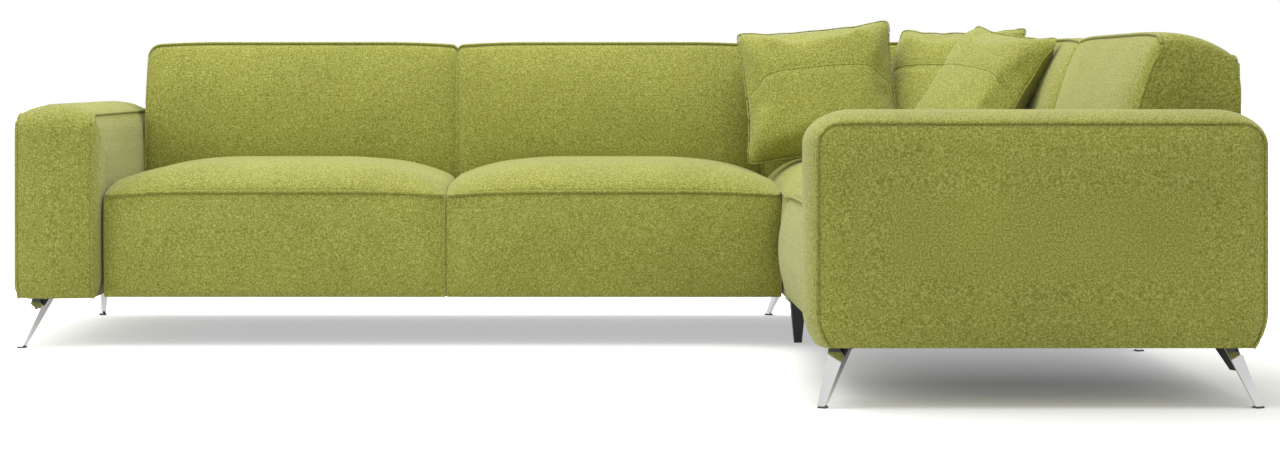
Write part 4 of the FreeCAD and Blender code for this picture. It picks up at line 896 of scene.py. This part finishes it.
across = np.linspace(-1, 1, PILLOW_GRID)
u, v = np.meshgrid(across, across, indexing="ij")
front_index = np.arange(PILLOW_GRID ** 2).reshape(PILLOW_GRID, PILLOW_GRID)
rear_index = front_index.copy()
inside = PILLOW_GRID - 2
rear_index[1:-1, 1:-1] = PILLOW_GRID ** 2 + np.arange(inside ** 2).reshape(inside, inside)
pillow_faces = np.concatenate([grid_faces(front_index), grid_faces(rear_index)[:, ::-1]])
for number, (node_name, (yaw, lean, roll)) in enumerate(sorted(PILLOW_TURNS.items()), start=1):
    blunt = 1 - 0.05 * (u * v) ** 8
    wide = PILLOW_WIDTH * PILLOW_CUT * u * (1 - 0.025 * (1 - v ** 2)) * blunt
    tall = PILLOW_TALL * (0.5 + PILLOW_CUT * v * (1 - 0.025 * (1 - u ** 2)) * blunt)
    thick = PILLOW_THICK * 0.30 * ((1 - u ** 2) * (1 - v ** 2)) ** 0.5
    thick *= 1 - 0.12 * v
    front = np.stack([wide, -thick, tall], -1).reshape(-1, 3)
    rear = np.stack([wide, thick, tall], -1)[1:-1, 1:-1].reshape(-1, 3)
    points = np.concatenate([front, rear])
    mesh = bpy.data.meshes.new("pillow_%d" % number)
    mesh.from_pydata(points.tolist(), [], pillow_faces.tolist())
    mesh.polygons.foreach_set("use_smooth", np.ones(len(mesh.polygons), bool))
    mesh.materials.append(cover)
    pillow = bpy.data.objects.new("pillow_%d" % number, mesh)
    bpy.context.scene.collection.objects.link(pillow)
    swollen(pillow, [], PILLOW_PRESSURE, PILLOW_SWELL)

    points = np.empty(len(mesh.vertices) * 3)
    mesh.vertices.foreach_get("co", points)
    points = points.reshape(-1, 3)
    for index in (front_index, rear_index):
        grid = points[index]
        for _ in range(SMOOTHING):
            around = grid[:-2, 1:-1] + grid[2:, 1:-1] + grid[1:-1, :-2] + grid[1:-1, 2:]
            grid[1:-1, 1:-1] = (grid[1:-1, 1:-1] + around / 4) / 2
        points[index] = grid
    reach = points.max(0) - points.min(0)
    middle = (points.max(0) + points.min(0)) / 2
    target = np.array([PILLOW_WIDTH, min(reach[1] * 1.02, PILLOW_THICK), PILLOW_TALL])
    points = (points - middle) * target / reach
    wave = np.sin(17 * u + 2.1 * number + 3 * v) * np.sin(11 * v - number)
    slack = PILLOW_FOLDS * wave * (np.maximum(np.abs(u), np.abs(v)) ** 3)
    points[:PILLOW_GRID ** 2, 1] -= slack.ravel() * (np.abs(u * v).ravel() < 0.9)
    sheet = points[:PILLOW_GRID ** 2].reshape(PILLOW_GRID, PILLOW_GRID, 3)
    for offset in ((0.0, SECOND_SEAM) if number == 3 else (0.0,)):
        height = PILLOW_SEAM + offset - PILLOW_SEAM_FALL * across ** 4
        pressed = np.exp(-((v - height[:, None]) * PILLOW_TALL / 2 / 0.008) ** 2)
        sheet[:, :, 1] += 0.0028 * pressed * (np.abs(u) < 0.97)
    points = turned(turned(turned(points, 1, roll), 0, -lean), 2, yaw)
    low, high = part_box(node_name)
    points += (np.add(low, high) - points.min(0) - points.max(0)) / 2
    mesh.vertices.foreach_set("co", points.ravel())
    mesh.update()
    sheet = points[:PILLOW_GRID ** 2].reshape(PILLOW_GRID, PILLOW_GRID, 3)
    seam = np.stack([[np.interp(height[i], across, sheet[i, :, axis]) for axis in range(3)]
                     for i in range(1, PILLOW_GRID - 1)])
    rim = np.concatenate([sheet[0], sheet[1:, -1], sheet[-1, -2::-1], sheet[-2::-1, 0]])
    refined(pillow)
    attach(pillow, "pillow_%d" % number)
    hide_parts(node_name)
    piped("pillow_%d_seam" % number, resampled(seam, 90), 0.0020, "pillow_%d" % number)
    piped("pillow_%d_edge" % number, resampled(rim, 260), 0.0020, "pillow_%d" % number)

# Feet and frame: polished chrome angle legs on black moulded blocks, dark glides and one plain
# black foot at the inner corner. Every kept node takes the finish of its material slot.


def finish(name, dark, light, scale, rough, metallic, bump_depth):
    """Hard finish: a fine noise mixes two near colours and roughens the surface a little."""
    made = bpy.data.materials.new(name)
    made.use_nodes = True
    tree = made.node_tree
    body = tree.nodes["Principled BSDF"]
    place = tree.nodes.new("ShaderNodeTexCoord").outputs["Object"]
    grain = noise(tree, place, scale, 4.0)
    tree.links.new(ramp(tree, grain, ((0.3, dark), (0.7, light))), body.inputs["Base Color"])
    spread = tree.nodes.new("ShaderNodeMapRange")
    spread.inputs["To Min"].default_value = rough * 0.8
    spread.inputs["To Max"].default_value = rough * 1.25
    tree.links.new(grain, spread.inputs["Value"])
    tree.links.new(spread.outputs["Result"], body.inputs["Roughness"])
    body.inputs["Metallic"].default_value = metallic
    bump = node(tree, "ShaderNodeBump", Strength=0.3, Distance=bump_depth)
    tree.links.new(grain, bump.inputs["Height"])
    tree.links.new(bump.outputs["Normal"], body.inputs["Normal"])
    return made


def grey(level):
    """Neutral colour."""
    return (level, level, level, 1)


FINISHES = {
    "chrome": finish("chrome", grey(0.60), grey(0.68), 6.0, 0.07, 1.0, 0.00002),
    "black_plastic": finish("black_moulding", grey(0.010), grey(0.016), 900.0, 0.42, 0.0, 0.0001),
    "glide_plastic": finish("glide_moulding", grey(0.05), grey(0.07), 700.0, 0.5, 0.0, 0.0001),
    "zinc_steel": finish("zinc_plate", (0.5, 0.5, 0.47, 1), (0.64, 0.64, 0.62, 1), 60.0, 0.32,
                         1.0, 0.0001),
    "spring_steel": finish("spring_wire", grey(0.26), grey(0.34), 300.0, 0.38, 1.0, 0.0001),
    "timber": finish("beech_board", (0.48, 0.32, 0.18, 1), (0.60, 0.43, 0.26, 1), 22.0, 0.6,
                     0.0, 0.0004),
    "webbing": finish("elastic_webbing", (0.36, 0.33, 0.27, 1), (0.50, 0.46, 0.38, 1), 420.0,
                      0.85, 0.0, 0.0006),
    "dust_cloth": finish("dust_cloth", grey(0.012), grey(0.026), 520.0, 0.95, 0.0, 0.0006),
}
for part in frame["record"]["subparts"]:
    kept = frame["nodes"][part["node"]]
    if part["material_slot"] in FINISHES:
        kept.data.materials.clear()
        kept.data.materials.append(FINISHES[part["material_slot"]])
